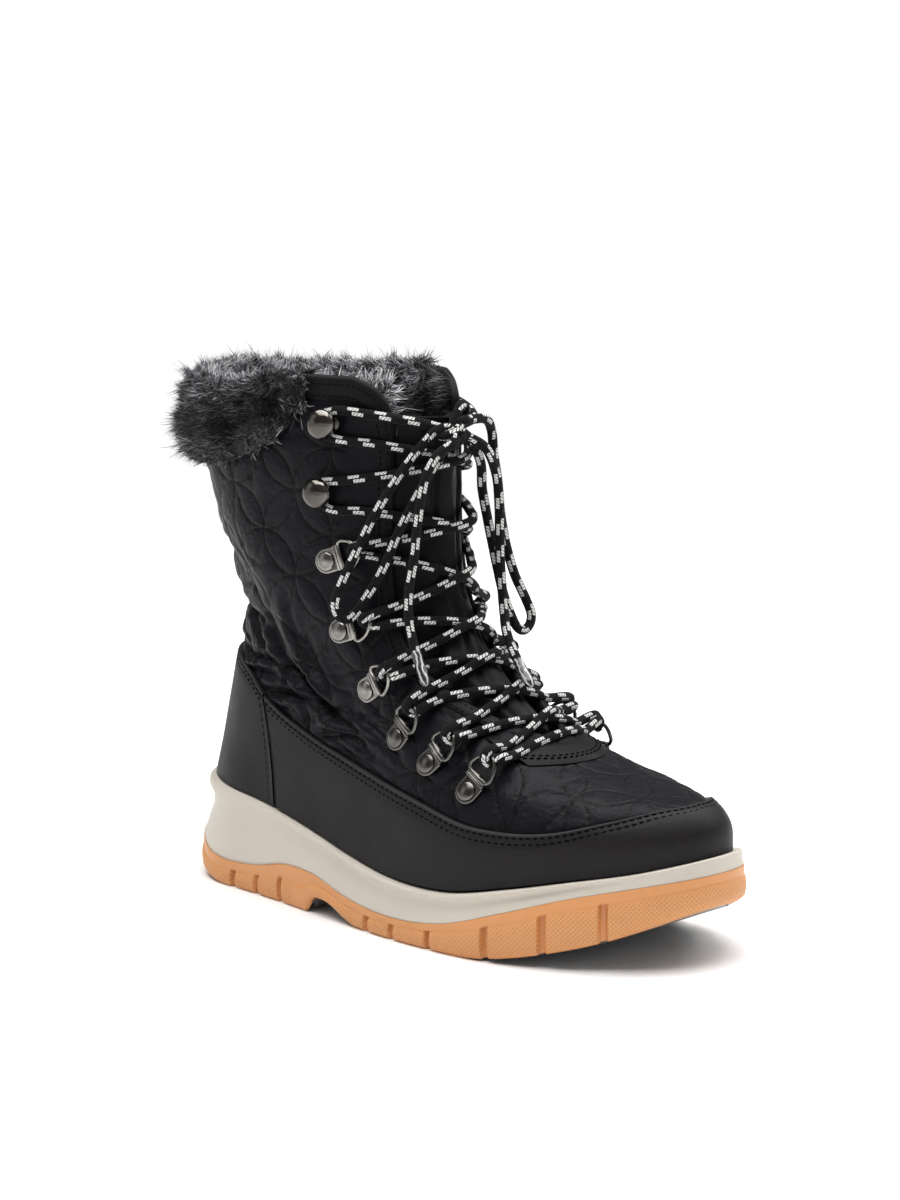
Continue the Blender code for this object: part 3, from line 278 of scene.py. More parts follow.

# Creases picked one by one: depth (negative for a ridge), width, and places and heights on the way
CREASES = table(
    "depth width path",
    (4.2, 3.0, ((0.33, 0.46), (0.33, 0.34), (0.37, 0.32), (0.40, 0.26), (0.43, 0.23), (0.49, 0.22))),
    (2.4, 2.8, ((0.03, 0.41), (0.16, 0.41), (0.24, 0.42), (0.31, 0.42))),
    (2.6, 2.6, ((0.19, 0.43), (0.25, 0.37), (0.27, 0.32))),
    (2.8, 2.4, ((0.10, 0.31), (0.21, 0.29), (0.27, 0.31), (0.33, 0.32))),
    (2.4, 2.2, ((0.21, 0.25), (0.26, 0.27), (0.30, 0.28))),
    (2.8, 2.2, ((0.33, 0.33), (0.32, 0.25))),
    (3.2, 2.4, ((0.26, 0.22), (0.32, 0.24), (0.39, 0.26))),
    (2.8, 2.2, ((0.36, 0.24), (0.36, 0.17))),
    (2.2, 3.2, ((0.44, 0.46), (0.42, 0.40), (0.42, 0.34), (0.43, 0.27))),
    (1.4, 3.0, ((0.47, 0.59), (0.43, 0.52), (0.41, 0.46), (0.44, 0.45))),
    (2.8, 2.4, ((0.38, 0.17), (0.44, 0.20), (0.48, 0.18))),
    (2.2, 2.6, ((0.46, 0.28), (0.50, 0.25), (0.53, 0.21))),
    (1.6, 3.0, ((0.06, 0.59), (0.15, 0.58), (0.23, 0.56))),
    (1.2, 3.4, ((0.20, 0.48), (0.27, 0.51), (0.33, 0.52))),
    (1.0, 3.4, ((0.23, 0.66), (0.30, 0.61), (0.35, 0.53))),
    (1.0, 3.4, ((0.25, 0.56), (0.30, 0.54), (0.32, 0.47))),
    (-2.6, 5.0, ((0.39, 0.50), (0.38, 0.40), (0.39, 0.34), (0.42, 0.28))),
    (-2.2, 3.8, ((0.29, 0.41), (0.30, 0.35))),
    (-1.5, 5.2, ((0.02, 0.34), (0.15, 0.34), (0.22, 0.33))),
    (-2.0, 3.6, ((0.19, 0.27), (0.25, 0.29))),
    (-2.0, 3.6, ((0.35, 0.29), (0.36, 0.26))),
    (-1.8, 3.4, ((0.29, 0.21), (0.34, 0.22))),
    (-1.8, 3.6, ((0.39, 0.22), (0.43, 0.20))),
    (-1.6, 4.0, ((0.46, 0.25), (0.50, 0.22))),
    (-1.8, 6.0, ((0.04, 0.49), (0.15, 0.50), (0.24, 0.48))),
    (-1.2, 6.0, ((0.06, 0.64), (0.20, 0.62))),
)
CREASE_FLOOR = -4.4

rng = np.random.default_rng(11)


def curve(x, xs, ys):
    """Smooth curve through knots whose values are numbers, or arrays like x."""
    x = np.asarray(x, float)
    xs = np.asarray(xs, float)
    ys = np.stack([np.asarray(y, float) for y in ys])
    span = np.diff(xs)
    wide = span.reshape((-1,) + (1,) * (ys.ndim - 1))
    slope = np.diff(ys, axis=0) / wide
    tangent = np.empty_like(ys)
    tangent[0] = slope[0]
    tangent[-1] = slope[-1]
    tangent[1:-1] = (slope[:-1] * wide[1:] + slope[1:] * wide[:-1]) / (wide[1:] + wide[:-1])
    x = np.clip(x, xs[0], xs[-1])
    i = np.clip(np.searchsorted(xs, x, side="right") - 1, 0, len(xs) - 2)

    def pick(values, k):
        if values.ndim == 1:
            return values[k]
        return np.take_along_axis(values, k[None], axis=0)[0]

    t = (x - xs[i]) / span[i]
    square = t * t
    cube = square * t
    low = pick(ys, i)
    rise = (3 * square - 2 * cube) * (pick(ys, i + 1) - low)
    lead = (cube - 2 * square + t) * span[i] * pick(tangent, i)
    trail = (cube - square) * span[i] * pick(tangent, i + 1)
    return low + rise + lead + trail


def look_up(rows, key, name, x):
    """Values of one field of a table, on a smooth curve over another."""
    return curve(x, [getattr(r, key) for r in rows], [getattr(r, name) for r in rows])


def ease(t):
    """Smooth step from zero to one."""
    t = np.clip(t, 0.0, 1.0)
    return t * t * (3 - 2 * t)


def bell(x, wide, middle=0.0):
    """One at the middle, falling smoothly to zero a few widths away."""
    return np.exp(-((x - middle) / wide) ** 2)


def heel_cap(f, reach):
    t = np.clip(f / reach, 0.0, 1.0)
    return np.sqrt(1 - (1 - t) ** 2)


def toe_cap(f, start, power):
    t = np.clip((f - start) / (1 - start), 0.0, 1.0)
    return (1 - t ** power) ** (1 / power)


def spread(a):
    """Share of an outline's length at a place, closer together at both ends."""
    return (1 - np.cos(np.pi * np.asarray(a, float))) / 2


def place_of(f):
    """Place round an outline at a share of its length, the inverse of spread."""
    return np.arccos(1 - 2 * f) / np.pi


def unit(v):
    return v / (np.linalg.norm(v, axis=-1, keepdims=True) + 1e-12)


# Sole lines

def toe_shift(f):
    return TOE_SHIFT * ease((np.asarray(f, float) - 0.5) / 0.5)


def sole_half(f, side):
    name = "lateral" if side == LATERAL else "medial"
    return look_up(SOLE, "f", name, f) * heel_cap(f, SOLE_HEEL_CAP) * toe_cap(f, SOLE_TOE_CAP, SOLE_TOE_POWER)


def sole_edges(a, side, offset):
    """Points of the outline at places a, moved out by an offset."""
    step = 0.002
    ends = []
    for v in (a - step, a + step):
        inside = (v >= 0) & (v <= 1)
        g = spread(v)
        y = np.where(inside, side * sole_half(g, side), -side * sole_half(g, -side))
        ends.append(np.stack((g * LENGTH, toe_shift(g) + y), axis=-1))
    along = ends[1] - ends[0]
    out = unit(np.stack((-along[:, 1], along[:, 0]), axis=-1)) * side
    f = spread(a)
    here = np.stack((f * LENGTH, toe_shift(f) + side * sole_half(f, side)), axis=-1)
    return here + out * np.asarray(offset)[:, None]


def top_z(f):
    return look_up(LINES, "f", "top", f)


def joint_z(f):
    return look_up(LINES, "f", "joint", f)


def bottom_z(f):
    heel = HEEL_BEVEL * np.clip(1 - f / 0.13, 0.0, 1.0) ** 2
    toe = TOE_SPRING * np.clip((f - 0.68) / 0.32, 0.0, 1.0) ** 1.6
    arch = ARCH_RISE * ease((f - ARCH_START) / ARCH_STEP) * (1 - ease((f - ARCH_END) / ARCH_FADE))
    return heel + toe + arch


# Surface of the upper

def wrap(s):
    """Places brought back to the range from -1 to 1."""
    s = np.asarray(s, float)
    s = np.where(s > 1, s - 2, s)
    return np.where(s < -1, s + 2, s)


def surface(s, b):
    """Points of the upper for arrays of places and heights."""
    s, b = np.broadcast_arrays(wrap(s), np.asarray(b, float))
    shape = s.shape
    s = s.ravel()
    b = b.ravel()
    f = spread(np.abs(s))
    ring = {name: look_up(RINGS, "b", name, b) for name in RINGS[0]._fields[1:]}
    cap = heel_cap(f, ring["heel_cap"]) * toe_cap(f, ring["toe_cap"], 2.0 + 0.2 * np.maximum(0.0, 1 - 2 * b))
    widths = []
    for side in ("lat", "med"):
        heel, waist, ball = (ring[side + "_" + part] for part in ("heel", "waist", "ball"))
        widths.append(curve(f, PROFILE_F, (heel, heel, waist, ball, TOE_NARROWING * ball)) * cap)
    x = ring["back_x"] + (ring["front_x"] - ring["back_x"]) * f
    y = toe_shift(x / LENGTH) + np.where(s < 0, -widths[0], widths[1])
    z = ring["back_z"] + (ring["front_z"] - ring["back_z"]) * f
    level = RINGS[0].back_z + (RINGS[0].front_z - RINGS[0].back_z) * f
    z = z + np.maximum(0.0, 1 - b / FEATHER_FADE) ** 2 * (top_z(x / LENGTH) + GAP - level)
    # the collar's back lies lower, most on the lateral side
    drop = np.where(s < 0, COLLAR_DROP, MEDIAL_DROP) * (1 - ease((np.abs(s) - 0.36) / 0.22))
    drop = np.where(np.abs(s) < 0.15, MEDIAL_DROP + (COLLAR_DROP - MEDIAL_DROP) * ease(0.5 - s / 0.3), drop)
    z = z - drop * ease((b - 0.72) / 0.28)
    return np.stack((x, y, z), axis=-1).reshape(shape + (3,))


def normals(s, b):
    """Outward directions of the upper, level at the feather edge."""
    s, b = np.broadcast_arrays(np.asarray(s, float), np.asarray(b, float))
    step = 0.004
    around = surface(s + step, b) - surface(s - step, b)
    rise = surface(s, np.minimum(b + step, 1.0)) - surface(s, np.maximum(b - step, 0.0))
    out = np.cross(rise, around)
    out[..., 2] = np.where(b < step, 0.0, out[..., 2])
    return unit(out)


def lifted(s, b, lift):
    """Points over the upper by a lift."""
    return surface(s, b) + normals(s, b) * np.asarray(lift, float)[..., None]


def place_at_width(half, b, side):
    """Places between mid and front where the upper is a given half width from its middle."""
    half, b = np.broadcast_arrays(np.asarray(half, float), np.asarray(b, float))
    low = np.full(b.shape, 0.5)
    high = np.ones(b.shape)
    for _ in range(34):
        middle = (low + high) / 2
        point = surface(side * middle, b)
        wide = np.abs(point[..., 1] - toe_shift(point[..., 0] / LENGTH)) > half
        low = np.where(wide, middle, low)
        high = np.where(wide, high, middle)
    return (low + high) / 2


def places_across(across, b):
    """Places near the front at signed widths from the upper's middle, lateral ones negative."""
    half = np.abs(across)
    lateral, medial = (side * place_at_width(half, b, side) for side in (LATERAL, MEDIAL))
    return np.where(across < 0, lateral, medial)


def throat_edge(b, side):
    """Place of a quarter's front edge at heights."""
    b = np.asarray(b, float)
    half = look_up(THROAT, "b", "half", b)
    return np.where(b <= THROAT_BASE, 1.0, place_at_width(half, b, side))


def rand_top(s):
    return look_up(RAND, "a", "top", np.abs(wrap(s)))


def seam_place(b):
    return SEAM_FOOT - SEAM_LEAN * b


SEAM_TOP = float(rand_top(seam_place(0.2)))


# Noise and paths

NOISE_SIZE = 64
NOISE = rng.random((NOISE_SIZE, NOISE_SIZE))
FINE_STEPS = 40


def noise(u, v, scale):
    """Smooth value noise from -1 to 1 at a scale in millimetres."""
    u = np.asarray(u, float) / scale
    v = np.asarray(v, float) / scale
    i = np.floor(u).astype(int)
    j = np.floor(v).astype(int)
    p = ease(u - i)
    q = ease(v - j)

    def at(di, dj):
        return NOISE[(i + di) % NOISE_SIZE, (j + dj) % NOISE_SIZE]

    near = at(0, 0) * (1 - p) + at(1, 0) * p
    far = at(0, 1) * (1 - p) + at(1, 1) * p
    return 2 * (near * (1 - q) + far * q) - 1


def crumple(u, v, scale):
    """Thin crooked fold lines, one on a line and zero between them."""
    return (1 - np.abs(noise(u, v, scale))) ** 7


def run_along(line):
    """Distance travelled at each point of a line."""
    return np.concatenate(((0.0,), np.cumsum(np.linalg.norm(np.diff(line, axis=0), axis=1))))


def points_at(at, run, line):
    """Points, or directions, at distances along a line."""
    return np.stack([np.interp(at, run, line[:, k]) for k in range(3)], axis=-1)


def smooth_path(points, step, closed=False):
    """Even points along a smooth line through the given ones."""
    points = np.asarray(points, float)
    if closed:
        points = np.concatenate((points[-2:], points, points[:3]))
    gaps = np.linalg.norm(np.diff(points, axis=0), axis=1)
    at = np.concatenate(((0.0,), np.cumsum(np.sqrt(gaps))))
    first = at[2] if closed else at[0]
    last = at[-3] if closed else at[-1]
    t = np.linspace(first, last, FINE_STEPS * len(points))
    fine = np.stack([curve(t, at, points[:, k]) for k in range(3)], axis=-1)
    run = run_along(fine)
    count = max(4, int(round(run[-1] / step)))
    even = np.linspace(0, run[-1], count + 1)
    if closed:
        even = even[:-1]
    return points_at(even, run, fine)


# Mesh makers

def add_piece(name, points, faces, material, replaces=(), slot=None, uv=None, marks=None):
    """Mesh from points in millimetres and lists of quads and triangles, riding on the boot."""
    points = (np.asarray(points, float).reshape(-1, 3) + SHIFT) * MM
    groups = [np.asarray(group, np.int32) for group in faces if len(group)]
    loops = np.concatenate([g.ravel() for g in groups])
    totals = np.concatenate([np.full(len(g), g.shape[1], np.int32) for g in groups])
    starts = np.concatenate(((0,), np.cumsum(totals)[:-1])).astype(np.int32)
    mesh = bpy.data.meshes.new(name)
    mesh.vertices.add(len(points))
    mesh.vertices.foreach_set("co", points.ravel())
    mesh.loops.add(len(loops))
    mesh.loops.foreach_set("vertex_index", loops)
    mesh.polygons.add(len(totals))
    mesh.polygons.foreach_set("loop_start", starts)
    mesh.polygons.foreach_set("loop_total", totals)
    mesh.polygons.foreach_set("use_smooth", np.full(len(totals), True))
    if uv is not None:
        layer = mesh.uv_layers.new(name="UVMap")
        layer.data.foreach_set("uv", np.concatenate([np.asarray(u, float).ravel() for u in uv]))
    for key, values in (marks or {}).items():
        values = np.asarray(values, float)
        if values.ndim == 1:
            values = np.repeat(values[:, None], 3, axis=1)
        colours = np.concatenate((values, np.ones((len(values), 1))), axis=1)
        layer = mesh.color_attributes.new(key, "FLOAT_COLOR", "POINT")
        layer.data.foreach_set("color", colours.ravel())
    mesh.update(calc_edges=True)
    mesh.materials.append(material)
    obj = bpy.data.objects.new(name, mesh)
    bpy.context.scene.collection.objects.link(obj)
    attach(obj, "root")
    if replaces:
        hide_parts(*replaces)
    return obj


def grid_quads(rows, cols, start=0, close=False):
    """Quads of a grid of points, joined round its columns when closed."""
    i, j = np.meshgrid(np.arange(rows - 1), np.arange(cols if close else cols - 1), indexing="ij")
    n = (j + 1) % cols
    quads = np.stack((i * cols + j, i * cols + n, (i + 1) * cols + n, (i + 1) * cols + j), axis=-1)
    return quads.reshape(-1, 4) + start


class Batch:
    """Points and faces of many small solids for one mesh."""

    def __init__(self):
        self.points = []
        self.quads = []
        self.tris = []
        self.count = 0

    def add(self, points, quads=(), tris=()):
        points = np.asarray(points, float).reshape(-1, 3)
        self.points.append(points)
        if len(quads):
            self.quads.append(np.asarray(quads) + self.count)
        if len(tris):
            self.tris.append(np.asarray(tris) + self.count)
        self.count += len(points)

    def faces(self):
        groups = []
        if self.quads:
            groups.append(np.concatenate(self.quads))
        if self.tris:
            groups.append(np.concatenate(self.tris))
        return groups

    def piece(self, name, material, **kind):
        return add_piece(name, np.concatenate(self.points), self.faces(), material, **kind)


def tube_rings(path, radii, sides, closed=False, facing=None):
    """Rings round a path, carried along it without twist or turned to face one way."""
    if closed:
        along = np.roll(path, -1, axis=0) - np.roll(path, 1, axis=0)
    else:
        along = np.gradient(path, axis=0)
    along = unit(along)
    seed = np.array((0.0, 0.0, 1.0)) if facing is None else np.asarray(facing, float)
    if abs(along[0] @ seed) > 0.9:
        seed = np.array((0.0, 1.0, 0.0))
    turns = np.arange(sides) * 2 * np.pi / sides
    radii = np.broadcast_to(radii, (len(path),))
    rings = np.empty((len(path), sides, 3))
    for k, (point, way) in enumerate(zip(path, along)):
        if facing is not None:
            seed = seed + 0.25 * np.asarray(facing, float)
        seed = seed - way * (seed @ way)
        seed = seed / np.linalg.norm(seed)
        cross = np.cross(way, seed)
        rings[k] = point + radii[k] * (np.cos(turns)[:, None] * seed + np.sin(turns)[:, None] * cross)
    return rings


def add_tube(batch, path, radius, sides, closed=False, facing=None):
    """Tube with rounded ends, or a closed loop."""
    path = np.asarray(path, float)
    if closed:
        rings = tube_rings(path, radius, sides, True)
        quads = grid_quads(len(path) + 1, sides, close=True) % (len(path) * sides)
        batch.add(rings, quads)
        return
    head = unit(path[0] - path[1])
    tail = unit(path[-1] - path[-2])
    caps = ((0.8, 0.6), (0.95, 0.3))
    front = [path[0] + head * radius * far for far, _ in caps[::-1]]
    rear = [path[-1] + tail * radius * far for far, _ in caps]
    line = np.concatenate((front, path, rear))
    radii = np.full(len(line), radius)
    radii[0] = radii[-1] = radius * caps[1][1]
    radii[1] = radii[-2] = radius * caps[0][1]
    rings = tube_rings(line, radii, sides, facing=facing)
    ends = np.stack((path[0] + head * radius, path[-1] + tail * radius))
    points = np.concatenate((rings.reshape(-1, 3), ends))
    last = len(line) * sides
    tris = []
    for j in range(sides):
        n = (j + 1) % sides
        tris.append((last, n, j))
        tris.append((last + 1, last - sides + j, last - sides + n))
    batch.add(points, grid_quads(len(line), sides, close=True), tris)


# Materials

THREAD_SCALE = 1900.0
DOT_PITCH = 1.95
# Pale flecks of the lace: turn and offset of each row, then their sizes and the waves of the braid
FLECKS = ((0.085, 0.0), (0.915, 2.3), (0.415, 5.7), (0.585, 8.0))
FLECK_PITCH = 11.4
FLECK_LENGTH = 4.7
FLECK_HALF = 0.062
FLECK_TOOTH = 1.47
BRAID_ALONG = 3.9
BRAID_TURN = 50.2655


def material(name, colour, roughness, **sockets):
    made = bpy.data.materials.new(name)
    made.use_nodes = True
    shader = made.node_tree.nodes["Principled BSDF"]
    shader.inputs["Base Color"].default_value = (*colour, 1.0)
    shader.inputs["Roughness"].default_value = roughness
    for key, value in sockets.items():
        shader.inputs[key.replace("_", " ")].default_value = value
    made.diffuse_color = (*colour, 1.0)
    return made


class Nodes:
    """Short way to add and join the nodes of one material."""

    def __init__(self, made):
        self.tree = made.node_tree
        self.shader = self.tree.nodes["Principled BSDF"]
        self.coords = self.add("ShaderNodeTexCoord").outputs["Object"]

    def add(self, kind, **values):
        node = self.tree.nodes.new(kind)
        for key, value in values.items():
            setattr(node, key, value)
        return node

    def join(self, source, target):
        self.tree.links.new(source, target)

    def flat(self):
        """The two outputs of the UV map."""
        split = self.add("ShaderNodeSeparateXYZ")
        self.join(self.add("ShaderNodeTexCoord").outputs["UV"], split.inputs[0])
        return split.outputs["X"], split.outputs["Y"]

    def texture(self, kind, **numbers):
        """Texture on the object's own coordinates."""
        node = self.add(kind)
        self.join(self.coords, node.inputs["Vector"])
        for key, number in numbers.items():
            node.inputs[key].default_value = number
        return node.outputs

    def noise(self, scale, detail=3.0, rough=0.55):
        return self.texture("ShaderNodeTexNoise", Scale=scale, Detail=detail, Roughness=rough)["Fac"]

    def cells(self, scale):
        return self.texture("ShaderNodeTexVoronoi", Scale=scale)["Distance"]

    def math(self, operation, *values):
        node = self.add("ShaderNodeMath", operation=operation)
        for socket, value in zip(node.inputs, values):
            if isinstance(value, (int, float)):
                socket.default_value = value
            else:
                self.join(value, socket)
        return node.outputs[0]

    def spread(self, value, low, high, to_low, to_high):
        node = self.add("ShaderNodeMapRange")
        self.join(value, node.inputs["Value"])
        for key, number in (("From Min", low), ("From Max", high), ("To Min", to_low), ("To Max", to_high)):
            node.inputs[key].default_value = number
        return node.outputs["Result"]

    def blend(self, share, first, second):
        node = self.add("ShaderNodeMix", data_type="RGBA")
        self.join(share, node.inputs["Factor"])
        for socket, value in ((node.inputs[6], first), (node.inputs[7], second)):
            if isinstance(value, tuple):
                socket.default_value = (*value, 1.0)
            else:
                self.join(value, socket)
        return node.outputs[2]

    def mark(self, name):
        return self.add("ShaderNodeVertexColor", layer_name=name).outputs["Color"]

    def bump(self, height, strength, distance, under=None):
        node = self.add("ShaderNodeBump")
        self.join(height, node.inputs["Height"])
        node.inputs["Distance"].default_value = distance
        node.inputs["Strength"].default_value = strength
        if under is not None:
            self.join(under, node.inputs["Normal"])
        return node.outputs["Normal"]

    def set(self, name, value):
        self.join(value, self.shader.inputs[name])


def toned(colour, share):
    """The same colour, paler or darker."""
    return tuple(min(1.0, c * share) for c in colour)


def weave(n, colour, rough, normal, scale):
    """Fine threads over the folds of a cloth, with a patchy tone and sheen; the cloth's colour comes back."""
    tone = n.noise(scale, 3.0)
    n.set("Normal", n.bump(n.noise(THREAD_SCALE, 1.0), 0.15, 0.0002, normal))
    n.set("Roughness", n.spread(tone, 0.3, 0.7, rough - 0.06, rough + 0.07))
    return n.blend(tone, toned(colour, 0.75), toned(colour, 1.3))


def nylon(name, colour, rough, fold_scale, fold_height):
    """Woven nylon with a soft sheen and small puckers."""
    made = material(name, colour, rough, Specular_IOR_Level=0.13)
    n = Nodes(made)
    folds = n.bump(n.noise(fold_scale, 4.0, 0.6), 0.3, fold_height)
    n.set("Base Color", weave(n, colour, rough, folds, 70.0))
    return made


def quilted(name, colour, rough):
    """Nylon sewn in overlapping circles: the UV map counts radii, and a mark says where it is sewn."""
    made = material(name, colour, rough, Specular_IOR_Level=0.12)
    n = Nodes(made)
    u, v = n.flat()
    total, apart = (n.math("MULTIPLY", n.math(way, u, v), 0.5) for way in ("ADD", "SUBTRACT"))
    p, q = (n.math("ABSOLUTE", n.math("SUBTRACT", n.math("FRACT", c), 0.5)) for c in (total, apart))
    nearest = None
    for i in (0.5, -0.5):
        for j in (0.5, -0.5):
            dp = n.math("POWER", n.math("SUBTRACT", p, i), 2.0)
            dq = n.math("POWER", n.math("SUBTRACT", q, j), 2.0)
            reach = n.math("SQRT", n.math("ADD", dp, dq))
            away = n.math("ABSOLUTE", n.math("SUBTRACT", reach, math.sqrt(0.5)))
            nearest = away if nearest is None else n.math("MINIMUM", nearest, away)
    away = n.math("MULTIPLY", nearest, math.sqrt(2.0) * QUILT_R)
    sewn = n.mark("sewn")
    line = n.math("MULTIPLY", n.spread(away, 0.2, 0.6, 0.85, 0.0), sewn)
    groove = n.math("MULTIPLY", n.spread(away, 0.0, 1.3, -1.0, 0.0), sewn)
    near = n.math("MULTIPLY", n.spread(away, 0.5, 5.0, 1.0, 0.25), sewn)
    puckers = n.math("MULTIPLY", n.noise(300.0, 3.0, 0.6), near)
    normal = n.bump(n.noise(75.0, 4.0, 0.55), 0.3, 0.0018)
    normal = n.bump(puckers, 0.5, 0.0014, normal)
    normal = n.bump(groove, 0.5, 0.0006, normal)
    cloth = weave(n, colour, rough, normal, 60.0)
    # Painted shade: the fold mark darkens the cloth in the creases.
    cloth = n.blend(n.mark("fold"), cloth, toned(colour, 0.1))
    n.set("Base Color", n.blend(line, cloth, toned(colour, 0.2)))
    return made


def leather(name, colour):
    """Coated leather with a fine grain, and a painted highlight: paler colour where a mark follows its rolled
    top edge.
    """
    made = material(name, colour, 0.5, Specular_IOR_Level=0.18)
    n = Nodes(made)
    soft = n.noise(38.0, 3.0)
    n.set("Normal", n.bump(n.cells(900.0), 0.16, 0.0003, n.bump(soft, 0.25, 0.0012)))
    base = n.blend(soft, toned(colour, 0.85), toned(colour, 1.18))
    # Painted highlight: the edge mark paints the rolled top edge paler.
    n.set("Base Color", n.blend(n.mark("edge"), base, toned(colour, 3.0)))
    n.set("Roughness", n.spread(soft, 0.3, 0.7, 0.44, 0.58))
    return made


def rubber_midsole():
    colour = (0.565, 0.515, 0.45)
    made = material("midsole_rubber", colour, 0.5)
    n = Nodes(made)
    tone = n.noise(24.0, 4.0)
    n.set("Base Color", n.blend(tone, (0.53, 0.48, 0.415), (0.60, 0.55, 0.48)))
    n.set("Roughness", n.spread(tone, 0.3, 0.7, 0.44, 0.58))
    n.set("Normal", n.bump(n.noise(1300.0, 2.0), 0.12, 0.0002))
    return made


def rubber_gum():
    """Gum rubber with rows of small sunk dots on the lug faces, darkened by painted shade in their pits, and
    a grey tread underneath.
    """
    made = material("gum_rubber", (0.63, 0.275, 0.095), 0.5, Subsurface_Weight=0.06, Subsurface_Scale=0.003)
    n = Nodes(made)
    lug = n.mark("lug")
    waves = [n.math("COSINE", n.math("MULTIPLY", way, 2 * math.pi / DOT_PITCH)) for way in n.flat()]
    pits = n.math("MULTIPLY", n.spread(n.math("MULTIPLY", *waves), 0.15, 0.65, 0.0, 1.0), lug)
    base = n.blend(n.noise(30.0, 4.0), (0.60, 0.255, 0.084), (0.68, 0.30, 0.106))
    face = n.blend(n.math("MULTIPLY", lug, 0.35), base, (0.70, 0.36, 0.15))
    # Painted shade in the pits of the dots.
    face = n.blend(n.math("MULTIPLY", pits, 0.42), face, (0.36, 0.13, 0.038))
    n.set("Base Color", n.blend(n.mark("tread"), face, (0.16, 0.16, 0.16)))
    n.set("Normal", n.bump(n.math("MULTIPLY", pits, -1.0), 0.6, 0.0005))
    n.set("Roughness", n.spread(lug, 0.0, 1.0, 0.42, 0.6))
    return made


def metal(name, dark, pale, rough):
    """Plated metal, darker in random patches, whose mark paints light: painted highlights on the rims and
    painted shade in the hollows.
    """
    made = material(name, pale, rough, Metallic=1.0)
    n = Nodes(made)
    wear = n.noise(260.0, 4.0)
    # Painted light: the mark blends from painted shade to painted highlight.
    plate = n.blend(n.mark("painted_shine"), dark, pale)
    n.set("Base Color", n.blend(n.spread(wear, 0.35, 0.75, 0.0, 0.35), plate, dark))
    n.set("Roughness", n.spread(wear, 0.3, 0.7, rough - 0.06, rough + 0.1))
    n.set("Normal", n.bump(n.noise(900.0, 2.0), 0.04, 0.0002))
    return made


def lace_cloth():
    """Black braid with paired pale flecks in two staggered rows, from length u and turn v."""
    colour = (0.0034, 0.0034, 0.0038)
    made = material("lace_cord", colour, 0.8, Specular_IOR_Level=0.18, Sheen_Weight=0.02)
    n = Nodes(made)
    along, turn = n.flat()
    fleck = None
    for middle, offset in FLECKS:
        # a hundred pitches more keep the length positive
        place = n.math("MODULO", n.math("ADD", along, offset + 100 * FLECK_PITCH), FLECK_PITCH)
        inside = n.math("LESS_THAN", place, FLECK_LENGTH)
        slant = n.math("ADD", place, n.math("MULTIPLY", turn, 9.0))
        teeth = n.math("GREATER_THAN", n.math("FRACT", n.math("DIVIDE", slant, FLECK_TOOTH)), 0.2)
        away = n.math("ABSOLUTE", n.math("SUBTRACT", turn, middle))
        near = n.math("LESS_THAN", away, FLECK_HALF)
        here = n.math("MULTIPLY", n.math("MULTIPLY", inside, teeth), near)
        fleck = here if fleck is None else n.math("MAXIMUM", fleck, here)
    n.set("Base Color", n.blend(fleck, colour, (0.80, 0.80, 0.78)))
    strands = (n.math("MULTIPLY", along, BRAID_ALONG), n.math("MULTIPLY", turn, BRAID_TURN))
    waves = [n.math("SINE", n.math(way, *strands)) for way in ("ADD", "SUBTRACT")]
    n.set("Normal", n.bump(n.math("MULTIPLY", *waves), 0.7, 0.0004))
    return made


def clear_tip():
    """Clear plastic sleeve with the pale and dark yarn showing through it in streaks."""
    made = material("lace_tip", (0.12, 0.12, 0.122), 0.2, Coat_Weight=0.4)
    n = Nodes(made)
    _, turn = n.flat()
    drift = n.math("MULTIPLY", n.noise(160.0, 2.0), 9.0)
    streak = n.math("SINE", n.math("ADD", n.math("MULTIPLY", turn, 10 * math.pi), drift))
    yarn = n.spread(streak, 0.1, 0.8, 0.0, 1.0)
    n.set("Base Color", n.blend(yarn, (0.022, 0.022, 0.024), (0.5, 0.5, 0.49)))
    n.set("Normal", n.bump(yarn, 0.2, 0.0003))
    return made


def fur_hair():
    made = material("fur_pile", (0.07, 0.07, 0.08), 0.65, Specular_IOR_Level=0.12, Sheen_Weight=0.05)
    n = Nodes(made)
    n.set("Base Color", n.mark("hair"))
    return made


def pile(name, colour):
    made = material(name, colour, 0.9, Sheen_Weight=0.3)
    n = Nodes(made)
    tufts = n.noise(420.0, 5.0, 0.7)
    n.set("Base Color", n.blend(tufts, toned(colour, 0.4), toned(colour, 1.7)))
    n.set("Normal", n.bump(tufts, 0.9, 0.003))
    return made


NYLON = quilted("quilted_nylon", (0.0042, 0.0042, 0.0064), 0.46)
TONGUE = nylon("tongue_nylon", (0.0036, 0.0036, 0.0046), 0.46, 60.0, 0.0020)
TAPE = nylon("binding_tape", (0.0042, 0.0042, 0.0052), 0.5, 90.0, 0.0006)
LEATHER = leather("coated_leather", (0.0100, 0.0085, 0.0096))
THREAD = material("sewing_thread", (0.0015, 0.0015, 0.0018), 0.7, Specular_IOR_Level=0.05)
MIDSOLE = rubber_midsole()
GUM = rubber_gum()
GUNMETAL = metal("gunmetal", (0.03, 0.028, 0.026), (0.34, 0.325, 0.30), 0.2)
POLISHED = metal("polished_gunmetal", (0.05, 0.045, 0.04), (0.36, 0.34, 0.315), 0.13)
LACE = lace_cloth()
TIP = clear_tip()
HAIR = fur_hair()
PILE = pile("lining_pile", (0.14, 0.14, 0.147))
FELT = pile("insole_felt", (0.012, 0.012, 0.013))


# Camera and stage

CAMERA_YAW = 43.35
CAMERA_TILT = 9.46
CAMERA_AIM_X = 120.0
CAMERA_BACK = 1297.0
CAMERA_HEIGHT = 346.0
FOCAL_PIXELS = 3183.0
PHOTO_PIXELS = 1200.0
SHIFT_PIXELS = 25.7
SENSOR = 36.0
FLOOR_RADIUS = 1.1
FLOOR_SIDES = 96


